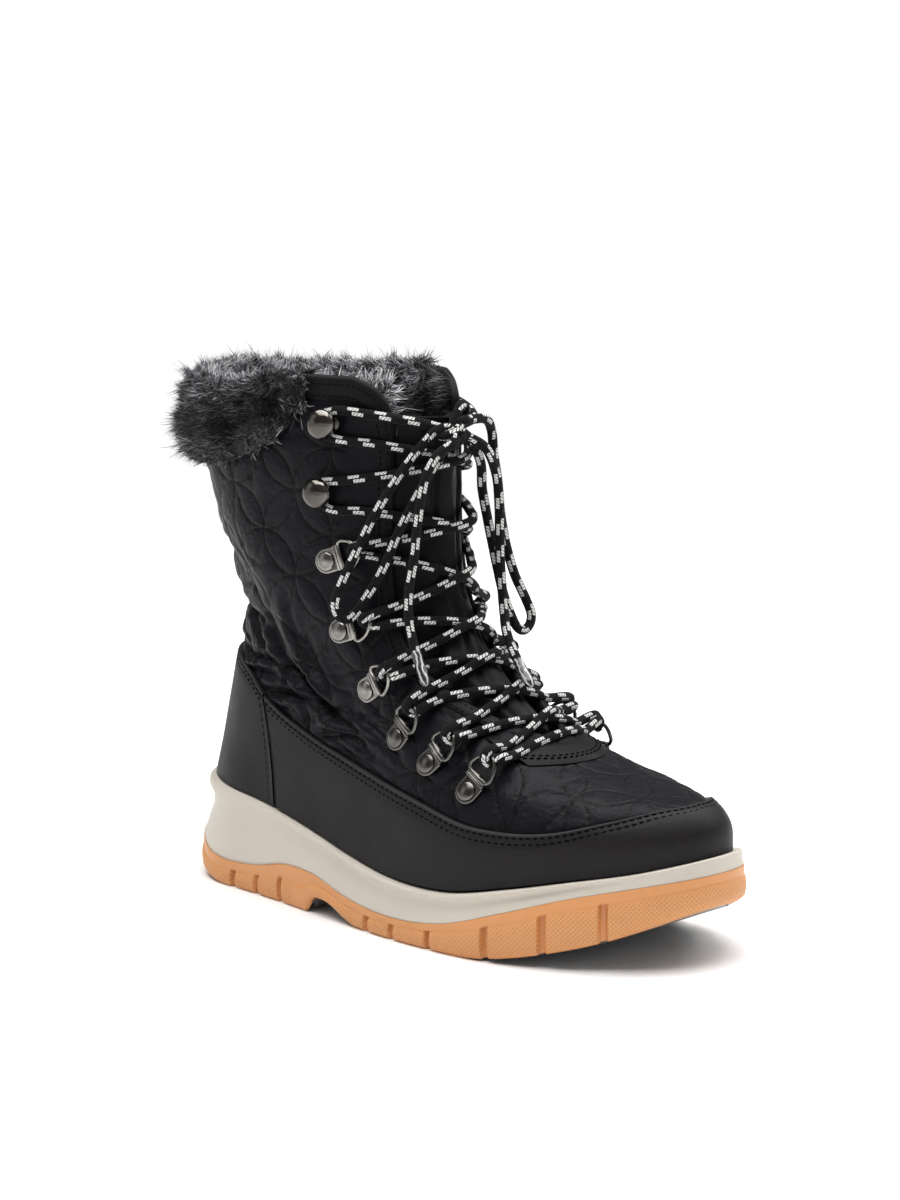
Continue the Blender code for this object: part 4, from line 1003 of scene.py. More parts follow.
def make_camera():
    """The photo's camera: its turn, tilt and distance from the boot, and its lens in pixels of the photo."""
    data = bpy.data.cameras.new("camera")
    camera = bpy.data.objects.new("camera", data)
    bpy.context.scene.collection.objects.link(camera)
    yaw = math.radians(CAMERA_YAW)
    back = np.array((math.sin(yaw), -math.cos(yaw), 0.0))
    place = np.array((CAMERA_AIM_X, 0.0, 0.0)) + back * CAMERA_BACK + np.array((0.0, 0.0, CAMERA_HEIGHT))
    camera.location = Vector((place + SHIFT) * MM)
    camera.rotation_euler = Euler((math.radians(90.0 - CAMERA_TILT), 0.0, yaw))
    data.lens = FOCAL_PIXELS / PHOTO_PIXELS * SENSOR
    data.sensor_width = SENSOR
    data.shift_x = SHIFT_PIXELS / PHOTO_PIXELS
    bpy.context.scene.camera = camera


def area_light(name, place, target, size, power):
    data = bpy.data.lights.new(name, "AREA")
    data.shape = "RECTANGLE"
    data.size, data.size_y = size
    data.energy = power
    light = bpy.data.objects.new(name, data)
    bpy.context.scene.collection.objects.link(light)
    light.location = place
    light.rotation_euler = (Vector(target) - Vector(place)).to_track_quat("-Z", "Y").to_euler()


def make_floor():
    """Round pale table."""
    turns = np.linspace(0, 2 * np.pi, FLOOR_SIDES + 1)[:-1]
    rim = [(FLOOR_RADIUS * math.cos(t), FLOOR_RADIUS * math.sin(t), 0.0) for t in turns]
    mesh = bpy.data.meshes.new("studio_floor")
    mesh.from_pydata(rim, [], [tuple(range(len(rim)))])
    mesh.materials.append(material("studio_white", (0.95, 0.95, 0.95), 0.9))
    floor = bpy.data.objects.new("studio_floor", mesh)
    bpy.context.scene.collection.objects.link(floor)


def make_sky():
    """White surroundings, bright at the horizon and dim above it."""
    world = bpy.data.worlds.new("studio")
    bpy.context.scene.world = world
    world.use_nodes = True
    tree = world.node_tree
    sky = tree.nodes["Background"]
    split = tree.nodes.new("ShaderNodeSeparateXYZ")
    tree.links.new(tree.nodes.new("ShaderNodeTexCoord").outputs["Generated"], split.inputs[0])
    fade = tree.nodes.new("ShaderNodeMapRange")
    tree.links.new(split.outputs["Z"], fade.inputs["Value"])
    for key, number in (("From Min", 0.03), ("From Max", 0.12), ("To Min", 1.0), ("To Max", 0.21)):
        fade.inputs[key].default_value = number
    tree.links.new(fade.outputs["Result"], sky.inputs["Strength"])
    sky.inputs["Color"].default_value = (1.0, 1.0, 1.0, 1.0)


def make_stage():
    """Round pale table under a bright horizon, with soft lights overhead, behind and at the left."""
    make_floor()
    make_sky()
    area_light("overhead", (-0.1, -0.1, 2.3), (0.0, 0.0, 0.0), (2.6, 2.6), 98.0)
    area_light("back_box", (0.5, 1.3, 1.4), (0.0, 0.0, 0.08), (1.2, 0.9), 14.0)
    area_light("left_box", (-1.1, -1.5, 0.9), (0.0, 0.0, 0.12), (0.9, 1.3), 2.6)
    bpy.context.scene.view_settings.view_transform = "Standard"


# Soles

def loop_of(level, *details):
    """Values of a sole's outline at one level, out along the lateral side and back along the medial one."""
    lateral = level(LATERAL, *details)
    medial = level(MEDIAL, *details)
    return np.concatenate((lateral, medial[-2:0:-1]))


def drawn_in(rim, share, height, lift):
    """A sole's outline drawn in towards the middle of the foot, on the line of heights there."""
    flat = rim.copy()
    flat[:, :2] = SOLE_MIDDLE + (rim[:, :2] - SOLE_MIDDLE) * share
    flat[:, 2] = height(flat[:, 0] / LENGTH) + lift
    return flat


def midsole_level(side, stations, share):
    """One side of the midsole's wall at a share of its height, hollow at the heel and plain at the toe."""
    f = spread(stations)
    heel = 1 - ease(f / 0.16)
    side_in = look_up(MIDSOLE_SIDE, "share", "side_in", share)
    toe_in = 0.5 + 0.9 * share ** 8
    side_in = side_in + (toe_in - side_in) * 0.8 * ease((f - 0.80) / 0.16)
    heel_in = look_up(MIDSOLE_SIDE, "share", "heel_in", share)
    plan = sole_edges(stations, side, -(side_in + (heel_in - side_in) * heel))
    g = plan[:, 0] / LENGTH
    low = joint_z(g) + JOINT_GAP
    return np.concatenate((plan, (low + (top_z(g) - low) * share)[:, None]), axis=1)


def make_midsole():
    stations = np.linspace(0, 1, 181)
    shares = np.concatenate((np.linspace(0, 0.78, 14), np.linspace(0.8, 1.0, 13)))
    walls = [loop_of(midsole_level, stations, share) for share in shares]
    below = [drawn_in(walls[0], share, joint_z, JOINT_GAP) for share in (0.4, 0.8)]
    above = [drawn_in(walls[-1], share, top_z, -0.2) for share in (0.9, 0.6, 0.25)]
    grid = np.stack(below + walls + above)
    add_piece("midsole_body", grid, [grid_quads(*grid.shape[:2], close=True)], MIDSOLE,
              replaces=("midsole",), slot="midsole_rubber")


def groove_share(f):
    """One in the middle of a groove between two lugs, zero on a lug."""
    near = np.min(np.abs(f[..., None] - np.array(GROOVES)), axis=-1) * LENGTH
    return 1 - ease((near - GROOVE_WIDTH * 0.32) / (GROOVE_WIDTH * 0.5))


def lug_share(f):
    """Share of the outsole's height that its lugs take, from the heel to the toe."""
    return HEEL_LUG_SHARE + (TOE_LUG_SHARE - HEEL_LUG_SHARE) * ease((f - 0.3) / 0.6)


def lug_level(side, stations, row):
    """One side of the lug faces at a row of their profile, sunk at the grooves and rounded at the toe."""
    f = spread(stations)
    groove = groove_share(f)
    rounded = TOE_ROUND * ease((f - 0.86) / 0.14) * max(0.0, 1 - row.share / 0.45) ** 2
    offset = (row.out - rounded) * (1 - groove) - (GROOVE_DEPTH + rounded) * groove
    plan = sole_edges(stations, side, offset)
    low = bottom_z(f)
    high = low + lug_share(f) * (joint_z(f) - low)
    z = low + (high - low) * row.share
    z = np.where(groove > 0.5, np.maximum(z, low + SIDE_GROOVE * groove), z)
    return np.concatenate((plan, z[:, None]), axis=1)


def band_level(side, stations, row):
    """One side of the plain band between the lugs and the midsole."""
    f = spread(stations)
    plan = sole_edges(stations, side, np.full(f.shape, row.out))
    low = bottom_z(f) + lug_share(f) * (joint_z(f) - bottom_z(f))
    return np.concatenate((plan, (low + (joint_z(f) - low) * row.share)[:, None]), axis=1)


def edge_run(side, stations):
    """Distance along one side of the outline."""
    return run_along(sole_edges(stations, side, np.zeros(len(stations))))


def lug_face(side, stations):
    """One on the face of a lug, zero at the grooves and the plain arch."""
    f = spread(stations)
    arch = ease((f - 0.30) / 0.012) * (1 - ease((f - 0.425) / 0.02))
    return (1 - groove_share(f)) * (1 - arch)


def outsole_stations():
    """Places along the outline, closer together at the grooves and the arch step."""
    places = list(np.linspace(0, 1, 150))
    for g in GROOVES:
        centre = place_of(g)
        width = GROOVE_WIDTH / LENGTH / (np.pi * np.sin(np.pi * centre) / 2)
        places += list(centre + np.linspace(-1, 1, 13) * width)
    places += list(place_of(np.linspace(ARCH_START, ARCH_START + ARCH_STEP, 6)))
    stations = np.array(sorted(places))
    return stations[np.concatenate(((True,), np.diff(stations) > 5e-5))]


def tread_rows(foot, f):
    """Rows across the underside from edge to edge, sunk at the grooves and deepest in their middle."""
    across = np.array(TREAD_ACROSS)
    wide = ease((np.abs(across) - 0.5) / 0.12)
    rise = MID_GROOVE + (SIDE_GROOVE - MID_GROOVE) * wide
    groove = groove_share(f)
    left = foot[:len(f), None]
    right = foot[-np.arange(len(f)), None]
    rows = left + (right - left) * ((across[:, None] + 1) / 2)
    rows[..., 2] = bottom_z(f)[:, None] + groove[:, None] * rise
    return rows


def make_outsole():
    stations = outsole_stations()
    f = spread(stations)
    count = len(stations)
    rows = [loop_of(lug_level, stations, row) for row in LUG_PROFILE]
    rows += [loop_of(band_level, stations, row) for row in BAND_PROFILE]
    rows += [drawn_in(rows[-1], share, joint_z, 0.0) for share in (0.85, 0.4)]
    wall = np.stack(rows)
    around = wall.shape[1]
    tread = tread_rows(wall[0], f)
    cols = tread.shape[1]
    points = np.concatenate((wall.reshape(-1, 3), tread.reshape(-1, 3)))
    start = wall.shape[0] * around
    joins = []
    for i in range(count - 1):
        here = start + i * cols
        then = here + cols
        joins.append((i, i + 1, then, here))
        joins.append(((around - i) % around, here + cols - 1, then + cols - 1, around - i - 1))
    quads = np.concatenate((grid_quads(*wall.shape[:2], close=True), grid_quads(count, cols, start), joins))
    face = loop_of(lug_face, stations)
    lugs = [face * row.face for row in LUG_PROFILE]
    lugs += [np.zeros(around)] * (len(rows) - len(lugs))
    none = np.zeros(count * cols)
    marks = {
        "lug": np.concatenate(lugs + [none]),
        "tread": np.concatenate((np.zeros(start), none + 1)),
    }
    runs = np.concatenate((np.tile(loop_of(edge_run, stations), len(rows)), none))
    flat = np.stack((runs, points[:, 2]), axis=-1)
    add_piece("outsole_lugs", points, [quads], GUM, replaces=("outsole",), slot="gum_rubber", marks=marks,
              uv=(flat[quads.ravel()],))


# Upper

def quilt_lines(u, v):
    """Distance to the nearest stitched circle of the quilting."""
    best = np.full(u.shape, 1e9)
    i0 = np.round(u / QUILT_R).astype(int)
    j0 = np.round(v / QUILT_R).astype(int)
    for di in (-1, 0, 1):
        for dj in (-1, 0, 1):
            i = i0 + di
            j = j0 + dj
            away = np.abs(np.hypot(u - i * QUILT_R, v - j * QUILT_R) - QUILT_R)
            best = np.where((i + j) % 2 == 0, np.minimum(best, away), best)
    return best


def line_reach(points, line):
    """Distance of points from a line through places, and how far along it they are."""
    steps = np.linalg.norm(np.diff(line, axis=0), axis=1)
    done = np.concatenate(((0.0,), np.cumsum(steps)))
    away = np.full(points.shape[:-1], 1e9)
    share = np.zeros(points.shape[:-1])
    for first, then, start, step in zip(line[:-1], line[1:], done[:-1], steps):
        way = then - first
        t = np.clip(((points - first) @ way) / (way @ way), 0, 1)
        reach = np.linalg.norm(points - first - t[..., None] * way, axis=-1)
        share = np.where(reach < away, (start + t * step) / done[-1], share)
        away = np.minimum(away, reach)
    return away, share


def crease_depth(points, s):
    """Push from the creases, on both sides of the boot."""
    push = np.zeros(points.shape[:-1])
    for side, size in ((LATERAL, 1.0), (MEDIAL, 0.85)):
        here = np.where(s * side > 0, size, 0.0)
        for c in CREASES:
            path = np.array(c.path)
            away, share = line_reach(points, smooth_path(surface(side * path[:, 0], path[:, 1]), 4.0))
            fade = np.sin(np.pi * np.clip(share, 0.06, 0.94)) ** 0.6
            shape = bell(away, c.width)
            if c.depth > 0:
                fold = np.exp(-(away / (0.42 * c.width)) ** 1.3)
                shape = 0.35 * shape + 0.75 * fold - 0.22 * bell(away, 0.8 * c.width, 1.6 * c.width)
            push = push - here * c.depth * fade * shape
    return push


def quarter_grid(heights, shares, inset=0.0):
    """Places and heights from the lateral throat edge round the back to the medial one, and both edges."""
    edges = [throat_edge(heights, side) - inset for side in (LATERAL, MEDIAL)]
    lateral = -edges[0][:, None] * shares[None, ::-1]
    medial = edges[1][:, None] * shares[None, 1:]
    s = np.concatenate((lateral, medial), axis=1)
    return s, np.repeat(heights[:, None], s.shape[1], axis=1), edges


def quilt_map(base, u, on_vamp):
    """Flat map of the quilting: round the shaft by length and height, and over the vamp from above."""
    half = base.shape[1] // 2
    shaft_u = np.empty_like(u)
    for row, run, flat in zip(base[..., 0], u, shaft_u):
        for part in (slice(0, half + 1), slice(half, None)):
            order = np.argsort(row[part])
            zero = np.interp(SHAFT_NODE[0], row[part][order], run[part][order])
            flat[part] = run[part] - zero + QUILT_R
    quilt_u = np.where(on_vamp, base[..., 1] - VAMP_NODE[1] + QUILT_R, shaft_u)
    quilt_v = np.where(on_vamp, base[..., 0] - VAMP_NODE[0], base[..., 2] - SHAFT_NODE[1])
    return quilt_u, quilt_v


def padding(a, b, u, v, lines, smooth, on_vamp):
    """Swelling of the quilt between its stitched lines, crumpled at the ankle and wavy up the shaft."""
    puff = np.where(on_vamp, VAMP_PUFF, SHAFT_PUFF) * (1 - np.exp(-(lines / 3.6) ** 1.4))
    puff = puff * (1 - 0.9 * smooth) + 0.8 * smooth
    puff = puff + 0.15 * np.exp(-lines / 4.0) * noise(u, v, 4.1) * (1 - smooth)
    ankle = bell(b, 0.13, 0.27) * (1 - ease((a - 0.5) / 0.2))
    rough = noise(u, v * 1.4, 12.0) - 1.3 * crumple(u + 40, v * 1.5, 15.0) - 0.8 * crumple(u, v, 8.0)
    shaft = ease((b - 0.35) / 0.2) * (1 - smooth)
    waves = 0.8 * noise(u * 0.8, v * 1.3, 24.0) - 0.45 * crumple(u * 1.2, v, 26.0)
    return puff + ankle * rough + shaft * waves


def make_upper():
    """Quilted shell with the edges of its throat and collar turned in by the wall's thickness."""
    foot = np.concatenate((np.linspace(0, 0.08, 4), np.linspace(0.085, 0.125, 6)))
    heights = np.concatenate((foot, np.linspace(0.129, 0.45, 122), np.linspace(0.455, 0.995, 100), (1.0,)))
    half = 200
    s, b, edges = quarter_grid(heights, np.linspace(0, 1, half + 1) ** 1.12)
    a = np.abs(s)
    base = surface(s, b)
    around = np.linalg.norm(np.diff(base[..., :2], axis=1), axis=2)
    u = np.concatenate((np.zeros((len(heights), 1)), np.cumsum(around, axis=1)), axis=1)
    u = np.abs(u - u[:, half:half + 1])
    seam = VAMP_SEAM_B + (a - VAMP_SEAM_A) * VAMP_SEAM_SLOPE
    on_vamp = (a > VAMP_SEAM_A) & (b < np.minimum(seam, THROAT_BASE))
    seam_away = np.where((a > 0.56) & (a < 0.76), np.abs(b - seam) * UPPER_TALL, FAR)
    quilt_u, quilt_v = quilt_map(base, u, on_vamp)
    smooth = ease((a - 0.66) / 0.06) * ease((b - THROAT_BASE) / 0.08)
    creases = crease_depth(base, s)
    puff = padding(a, b, u, base[..., 2], quilt_lines(quilt_u, quilt_v), smooth, on_vamp)
    puff = puff - on_vamp * 0.3 * crumple(quilt_u, quilt_v, 21.0) + creases - 1.2 * bell(seam_away, 1.2)
    under_rand = ease((rand_top(s) + 0.012 - b) / 0.02)
    puff = puff * (1 - under_rand) - 0.2 * under_rand
    edge = np.where(s < 0, edges[0][:, None], edges[1][:, None])
    near_edge = np.where(b > THROAT_BASE, (edge - a) * FRONT_WIDE, FAR)
    puff = puff * ease((near_edge + 1.0) / 6.0)
    puff = np.maximum(puff * ease((1.0 - b) / 0.05), CREASE_FLOOR)
    out = normals(s, b)
    inside = base - out * WALL
    shown = base + out * puff[..., None]
    points = np.concatenate((shown.reshape(-1, 3), inside[:, 0], inside[:, -1], inside[-1]))
    rows, cols = s.shape
    start = rows * cols
    top = start + 2 * rows
    last = start - cols
    lips = []
    for r in range(int(np.argmax(heights > THROAT_BASE)) - 1, rows - 1):
        lips.append((r * cols, (r + 1) * cols, start + r + 1, start + r))
        lips.append(((r + 1) * cols - 1, start + rows + r, start + rows + r + 1, (r + 2) * cols - 1))
    for j in range(cols - 1):
        lips.append((last + j + 1, last + j, top + j, top + j + 1))
    faces = np.concatenate((grid_quads(rows, cols)[:, ::-1], np.array(lips)))
    sewn = (1 - smooth) * (1 - under_rand) * ease((seam_away - 1.0) / 2.0)
    # Painted shade in the creases, deepest where they sink furthest, carried by the fold mark.
    fold = np.clip(-0.8 - creases, 0, 3.0) / 3.0 * (1 - under_rand)
    rest = np.zeros(len(points) - start)
    marks = {"sewn": np.concatenate((sewn.ravel(), rest)), "fold": np.concatenate((fold.ravel(), rest))}
    flat = np.stack((quilt_u, quilt_v), axis=-1).reshape(-1, 2) / QUILT_R
    flat = np.concatenate((flat, np.zeros((len(rest), 2))))
    add_piece("upper_shell", points, [faces], NYLON, replaces=("upper",), slot="quilted_nylon",
              uv=(flat[faces.ravel()],), marks=marks)


def make_lining():
    s, b, _ = quarter_grid(np.linspace(0.0, 0.995, 60), np.linspace(0, 1, 61), 0.004)
    grid = lifted(s, b, -WALL - 0.1 - 2.8 * ease((0.74 - b) / 0.08))
    add_piece("shaft_lining", grid, [grid_quads(*s.shape)], PILE)


# Leather and tapes

def add_stitch(batch, point, along, out, length, radius):
    """One thread stitch: a short bar with pointed ends."""
    side = np.cross(out, along)
    half = length / 2
    rows = ((-half, 0.15), (-half * 0.6, 1.0), (half * 0.6, 1.0), (half, 0.15))
    turns = np.arange(STITCH_SIDES) * 2 * np.pi / STITCH_SIDES
    round_it = np.cos(turns)[:, None] * side + np.sin(turns)[:, None] * out
    rings = [point + along * shift + radius * wide * round_it for shift, wide in rows]
    batch.add(np.concatenate(rings), grid_quads(len(rows), STITCH_SIDES, close=True))


def stitch_row(batch, line, outs, pitch=3.0, length=2.1, radius=0.42):
    """Even stitches along a line of points with their outward directions."""
    run = run_along(line)
    at = np.arange(pitch / 2, run[-1], pitch)
    spots = points_at(at, run, line)
    along = unit(points_at(at + 0.4, run, line) - points_at(at - 0.4, run, line))
    for spot, way, out in zip(spots, along, unit(points_at(at, run, outs))):
        add_stitch(batch, spot, way, out, length, radius)


THREADS = Batch()


def add_overlay(name, node, edges, columns):
    """Leather sheet with a rolled top edge and two rows of stitches between two leaning seams."""
    shares = np.concatenate((np.linspace(0, 0.9, 16), np.linspace(0.92, 1.0, 8)))
    s = np.stack([edges(seam_place(share * SEAM_TOP), columns) for share in shares])
    b = OVERLAY_FOOT + shares[:, None] * (rand_top(s) - OVERLAY_FOOT)
    below = (1 - shares[:, None]) * ((rand_top(s) - OVERLAY_FOOT) * UPPER_TALL)
    lift = np.full(s.shape, OVERLAY_TOP)
    for inset in OVERLAY_STITCHES:
        lift = lift - 0.35 * bell(below, 0.7, inset)
    lift = lift - 0.9 * bell(below, 0.5) + 0.12 * noise(s * 300, b * UPPER_TALL, 17.0)
    rows, cols = s.shape
    points = np.concatenate((
        lifted(s, b, lift).reshape(-1, 3),
        lifted(s[-1], b[-1], -0.1),
        lifted(s[:, 0], b[:, 0], 0.2),
        lifted(s[:, -1], b[:, -1], 0.2),
    ))
    start = rows * cols
    left = start + cols
    right = left + rows
    lips = []
    for j in range(cols - 1):
        lips.append((start - cols + j + 1, start - cols + j, start + j, start + j + 1))
    for i in range(rows - 1):
        lips.append((i * cols, (i + 1) * cols, left + i + 1, left + i))
        lips.append(((i + 2) * cols - 1, (i + 1) * cols - 1, right + i, right + i + 1))
    # Painted highlight along the shoulder of the rolled top edge.
    painted_edge_highlight = np.concatenate((bell(below, 0.55, 0.7).ravel(), np.zeros(len(points) - start)))
    add_piece(name, points, [np.concatenate((grid_quads(rows, cols)[:, ::-1], np.array(lips)))], LEATHER,
              replaces=(node,), slot="coated_leather", marks={"edge": painted_edge_highlight})
    for inset in OVERLAY_STITCHES:
        place = edges(seam_place(SEAM_TOP), np.linspace(0.004, 0.996, 700))
        tall = rand_top(place) - inset / UPPER_TALL
        line = lifted(place, tall, OVERLAY_TOP - 0.28)
        stitch_row(THREADS, line, normals(place, tall))


def rand_edges(lean, columns):
    edge = lean + SEAM_HALF_GAP
    return edge + (2 - 2 * edge) * columns


def counter_edges(lean, columns):
    edge = lean - SEAM_HALF_GAP
    return edge * (2 * columns - 1)


def make_leather():
    """Both overlays, and a fine row of stitches beside each leaning seam."""
    add_overlay("leather_rand", "rand", rand_edges, np.linspace(0, 1, 260))
    add_overlay("leather_counter", "heel_counter", counter_edges, np.linspace(0, 1, 120))
    shares = np.linspace(0.03, 0.97, 90)
    for side in (LATERAL, MEDIAL):
        place = side * (seam_place(shares * SEAM_TOP) - 0.012)
        tall = shares * rand_top(place)
        line = lifted(place, tall, OVERLAY_TOP + 0.02)
        stitch_row(THREADS, line, normals(place, tall), radius=0.16)


def edge_line(side):
    """Places and heights along the quarter's front edge, round its corner and back along the collar."""
    up = np.concatenate((np.linspace(0.452, 0.94, 110), np.linspace(0.943, 1.0, 36)))
    corner = throat_edge(up, side)
    back = np.linspace(corner[-1], 0.575, 60)[1:]
    a = np.concatenate((corner, back))
    b = np.concatenate((up, np.ones(len(back))))
    return side * a, b


def make_tapes():
    """Binding folded over the free edge of each quarter, wider along the collar."""
    for side, word in SIDES:
        s, b = edge_line(side)
        line = surface(s, b)
        run = run_along(line)
        even = np.linspace(0, run[-1], 260)
        s = np.interp(even, run, s)
        b = np.interp(even, run, b)
        line = points_at(even, run, line)
        out = normals(s, np.minimum(b, 0.995))
        along = np.gradient(line, axis=0)
        for _ in range(14):
            along[1:-1] = (along[:-2] + along[1:-1] * 2 + along[2:]) / 4
        inward = unit(np.cross(along, out)) * side
        width = np.interp(b, (0.0, 0.93, 0.99, 1.0), (6.0, 6.0, 8.5, 9.0))
        rows = [line + inward * (width * inset)[:, None] + out * lift for inset, lift in TAPE_PROFILE]
        grid = np.stack(rows)
        add_piece("quarter_tape_" + word, grid, [grid_quads(*grid.shape[:2])], TAPE, slot="quilted_nylon")
        for inset in (0.82, 0.28):
            sewn = line + inward * (width * inset)[:, None] + out * 1.05
            stitch_row(THREADS, sewn[4:-4], out[4:-4], pitch=2.6, length=1.8, radius=0.26)


def make_throat_band():
    """Stitched band over the vamp, bowed down at its ends."""
    widths = np.linspace(-1, 1, 61)
    shares = np.linspace(0, 1, 14)
    low = 0.358 - 0.052 * widths ** 2
    high = 0.405 - 0.020 * widths ** 2
    top = GAP + BAND_THICK
    b = low + (high - low) * shares[:, None]
    s = places_across(widths * BAND_HALF, b)
    fold = np.sin(np.pi * np.clip(shares, 0.02, 0.98))[:, None] ** 0.35
    grid = lifted(s, b, (top + 0.4) * fold)
    add_piece("throat_cover", grid, [grid_quads(*s.shape)[:, ::-1]], TAPE, replaces=("throat_band",),
              slot="quilted_nylon")
    keep = np.abs(widths) < 0.97
    for share in (0.22, 0.34):
        tall = low + (high - low) * share
        place = places_across(widths * BAND_HALF, tall)
        line = lifted(place, tall, top + 0.45)[keep]
        stitch_row(THREADS, line, normals(place, tall)[keep], pitch=2.8, length=1.9, radius=0.3)


def make_tongue():
    """Padded tongue, swelling in the throat's opening with two wandering folds and a gathered top."""
    h, w = np.meshgrid(np.linspace(0.375, 0.955, 150), np.linspace(-1, 1, 81), indexing="ij")
    gap = look_up(THROAT, "b", "half", np.clip(h, THROAT_BASE, 0.94))
    across = w * np.minimum(20.0 + 40.0 * (h - 0.375), 31.0)
    s = places_across(across, h)
    swell = ease((gap - 4.0 - np.abs(across)) / 8.0)
    tall = h * 250.0
    puff = 0.9 * np.cos(across / 7.0 + 0.8 * np.sin(tall / 19.0)) + 0.8 * noise(across, tall * 0.7, 9.0)
    medial_fold = bell(across - 6.0 - 2.0 * np.sin(tall / 11.0), 1.6) * (noise(tall, tall * 0, 17.0) > -0.3)
    lateral_fold = bell(across + 5.0 - 2.5 * np.sin(tall / 13.0 + 1), 1.6)
    puff = puff - 1.3 * medial_fold - 1.3 * lateral_fold
    gathered = ease((h - 0.80) / 0.08)
    puff = puff + gathered * 0.9 * np.cos(across / 2.1 + noise(across, tall, 12.0))
    lift = -(WALL + 0.7) + 2.6 * swell + swell * puff
    outer = lifted(s, h, lift)
    inner = lifted(s, h, lift - TONGUE_THICK)
    rows, cols = h.shape
    size = rows * cols
    border = list(range(cols))
    border += [i * cols + cols - 1 for i in range(1, rows)]
    border += [(rows - 1) * cols + j for j in range(cols - 2, -1, -1)]
    border += [i * cols for i in range(rows - 2, 0, -1)]
    rim = [(then, here, size + here, size + then) for here, then in zip(border, border[1:] + border[:1])]
    quads = grid_quads(rows, cols)
    points = np.concatenate((outer.reshape(-1, 3), inner.reshape(-1, 3)))
    faces = np.concatenate((quads[:, ::-1], quads + size, np.array(rim)))
    add_piece("tongue_pad", points, [faces], TONGUE, replaces=("tongue",), slot="quilted_nylon")


# Fur

def cuff_outline(s, shrink):
    """Sections of the rolled cuff at places s, drawn in towards the collar by a share."""
    a = np.abs(s)
    low = look_up(CUFF, "a", "low", a)
    proud = look_up(CUFF, "a", "proud", a) * shrink
    rise = CUFF_RISE * shrink * (0.5 + 0.5 * proud / CUFF[0].proud)
    up = np.array((0.0, 0.0, 1.0))
    rim = surface(s, 1.0)
    rim_out = unit(normals(s, 1.0) * np.array((1.0, 1.0, 0.0)))

    def on(share, lift):
        return lifted(s, low + (1 - low) * share, lift)

    def row(k):
        return k[:, None]

    return np.stack([
        on(0.02, 0.4),
        on(-0.01, proud * 0.45) - up * 1.5,
        on(0.22, proud * 0.92),
        on(0.42, proud * 0.93),
        on(0.62, proud * 0.77),
        on(0.82, proud * 0.60),
        on(0.95, proud * 0.46) + up * row(rise * 0.35),
        rim + rim_out * row(proud * 0.15) + up * row(rise),
        rim - rim_out * (CUFF_OVERHANG * 0.7) + up * row(rise * 0.8),
        rim - rim_out * (CUFF_OVERHANG + 0.6),
        lifted(s, 0.965, -WALL - 1.5),
    ])


def hair_blades(roots, ways, lengths, widths, tones, curl_size, shades):
    """Points, faces and colours of curved tapering blades from roots, shaded from the root to the tip."""
    count = len(roots)
    ways = unit(ways)
    side = unit(np.cross(ways, rng.normal(size=(count, 3))))
    curl = rng.normal(size=(count, 3)) * curl_size
    layers = []
    for t, share in BLADE:
        centre = roots + ways * (lengths * t)[:, None] + curl * (lengths * t * t)[:, None]
        wide = widths * share
        layers.append(centre - side * wide[:, None] / 2)
        layers.append(centre + side * wide[:, None] / 2)
    points = np.stack(layers, axis=1)
    index = np.arange(count)[:, None] * len(layers)
    steps = range(len(BLADE) - 1)
    quads = np.concatenate([index + np.array((2 * k, 2 * k + 1, 2 * k + 3, 2 * k + 2)) for k in steps])
    shade = np.stack([tones * c for c in shades], axis=1)[..., None]
    shade = np.repeat(shade, 2, axis=1) * np.array((1.0, 1.0, 1.05))
    return points, quads, np.minimum(shade, 0.95).reshape(-1, 3)


def hair_piece(name, blades, **kind):
    points, quads, colours = blades
    add_piece(name, points, [quads], HAIR, slot="fur_pile", marks={"hair": colours}, **kind)


def make_fur_backing():
    end = CUFF[-1].a
    core = np.moveaxis(cuff_outline(np.linspace(-end, end, 140), 0.5), 0, 1)
    rows, cols = core.shape[:2]
    caps = np.stack((core[0].mean(axis=0), core[-1].mean(axis=0)))
    tris = []
    for j in range(cols):
        n = (j + 1) % cols
        tris.append((rows * cols, j, n))
        tris.append((rows * cols + 1, (rows - 1) * cols + n, (rows - 1) * cols + j))
    points = np.concatenate((core.reshape(-1, 3), caps))
    add_piece("fur_backing", points, [grid_quads(rows, cols, close=True), tris], FELT, slot="fur_pile")


def cuff_point(place, along, shrink):
    """Points of the cuff's outline at places and at steps along its sections."""
    whole = np.floor(along).astype(int)
    share = (along - whole)[:, None]
    rows = cuff_outline(place, shrink)
    each = np.arange(len(place))
    return rows[whole, each] * (1 - share) + rows[whole + 1, each] * share


def hollow(place, along):
    """One in the two hollows beside the lateral part of the fur, zero away from them; the hairs there are
    shorter and darkened by painted shade.
    """
    deep = sum(bell(place, wide, middle) for middle, wide in HOLLOWS)
    return np.minimum(deep, 1.0) * bell(along, 1.5, 3.2)


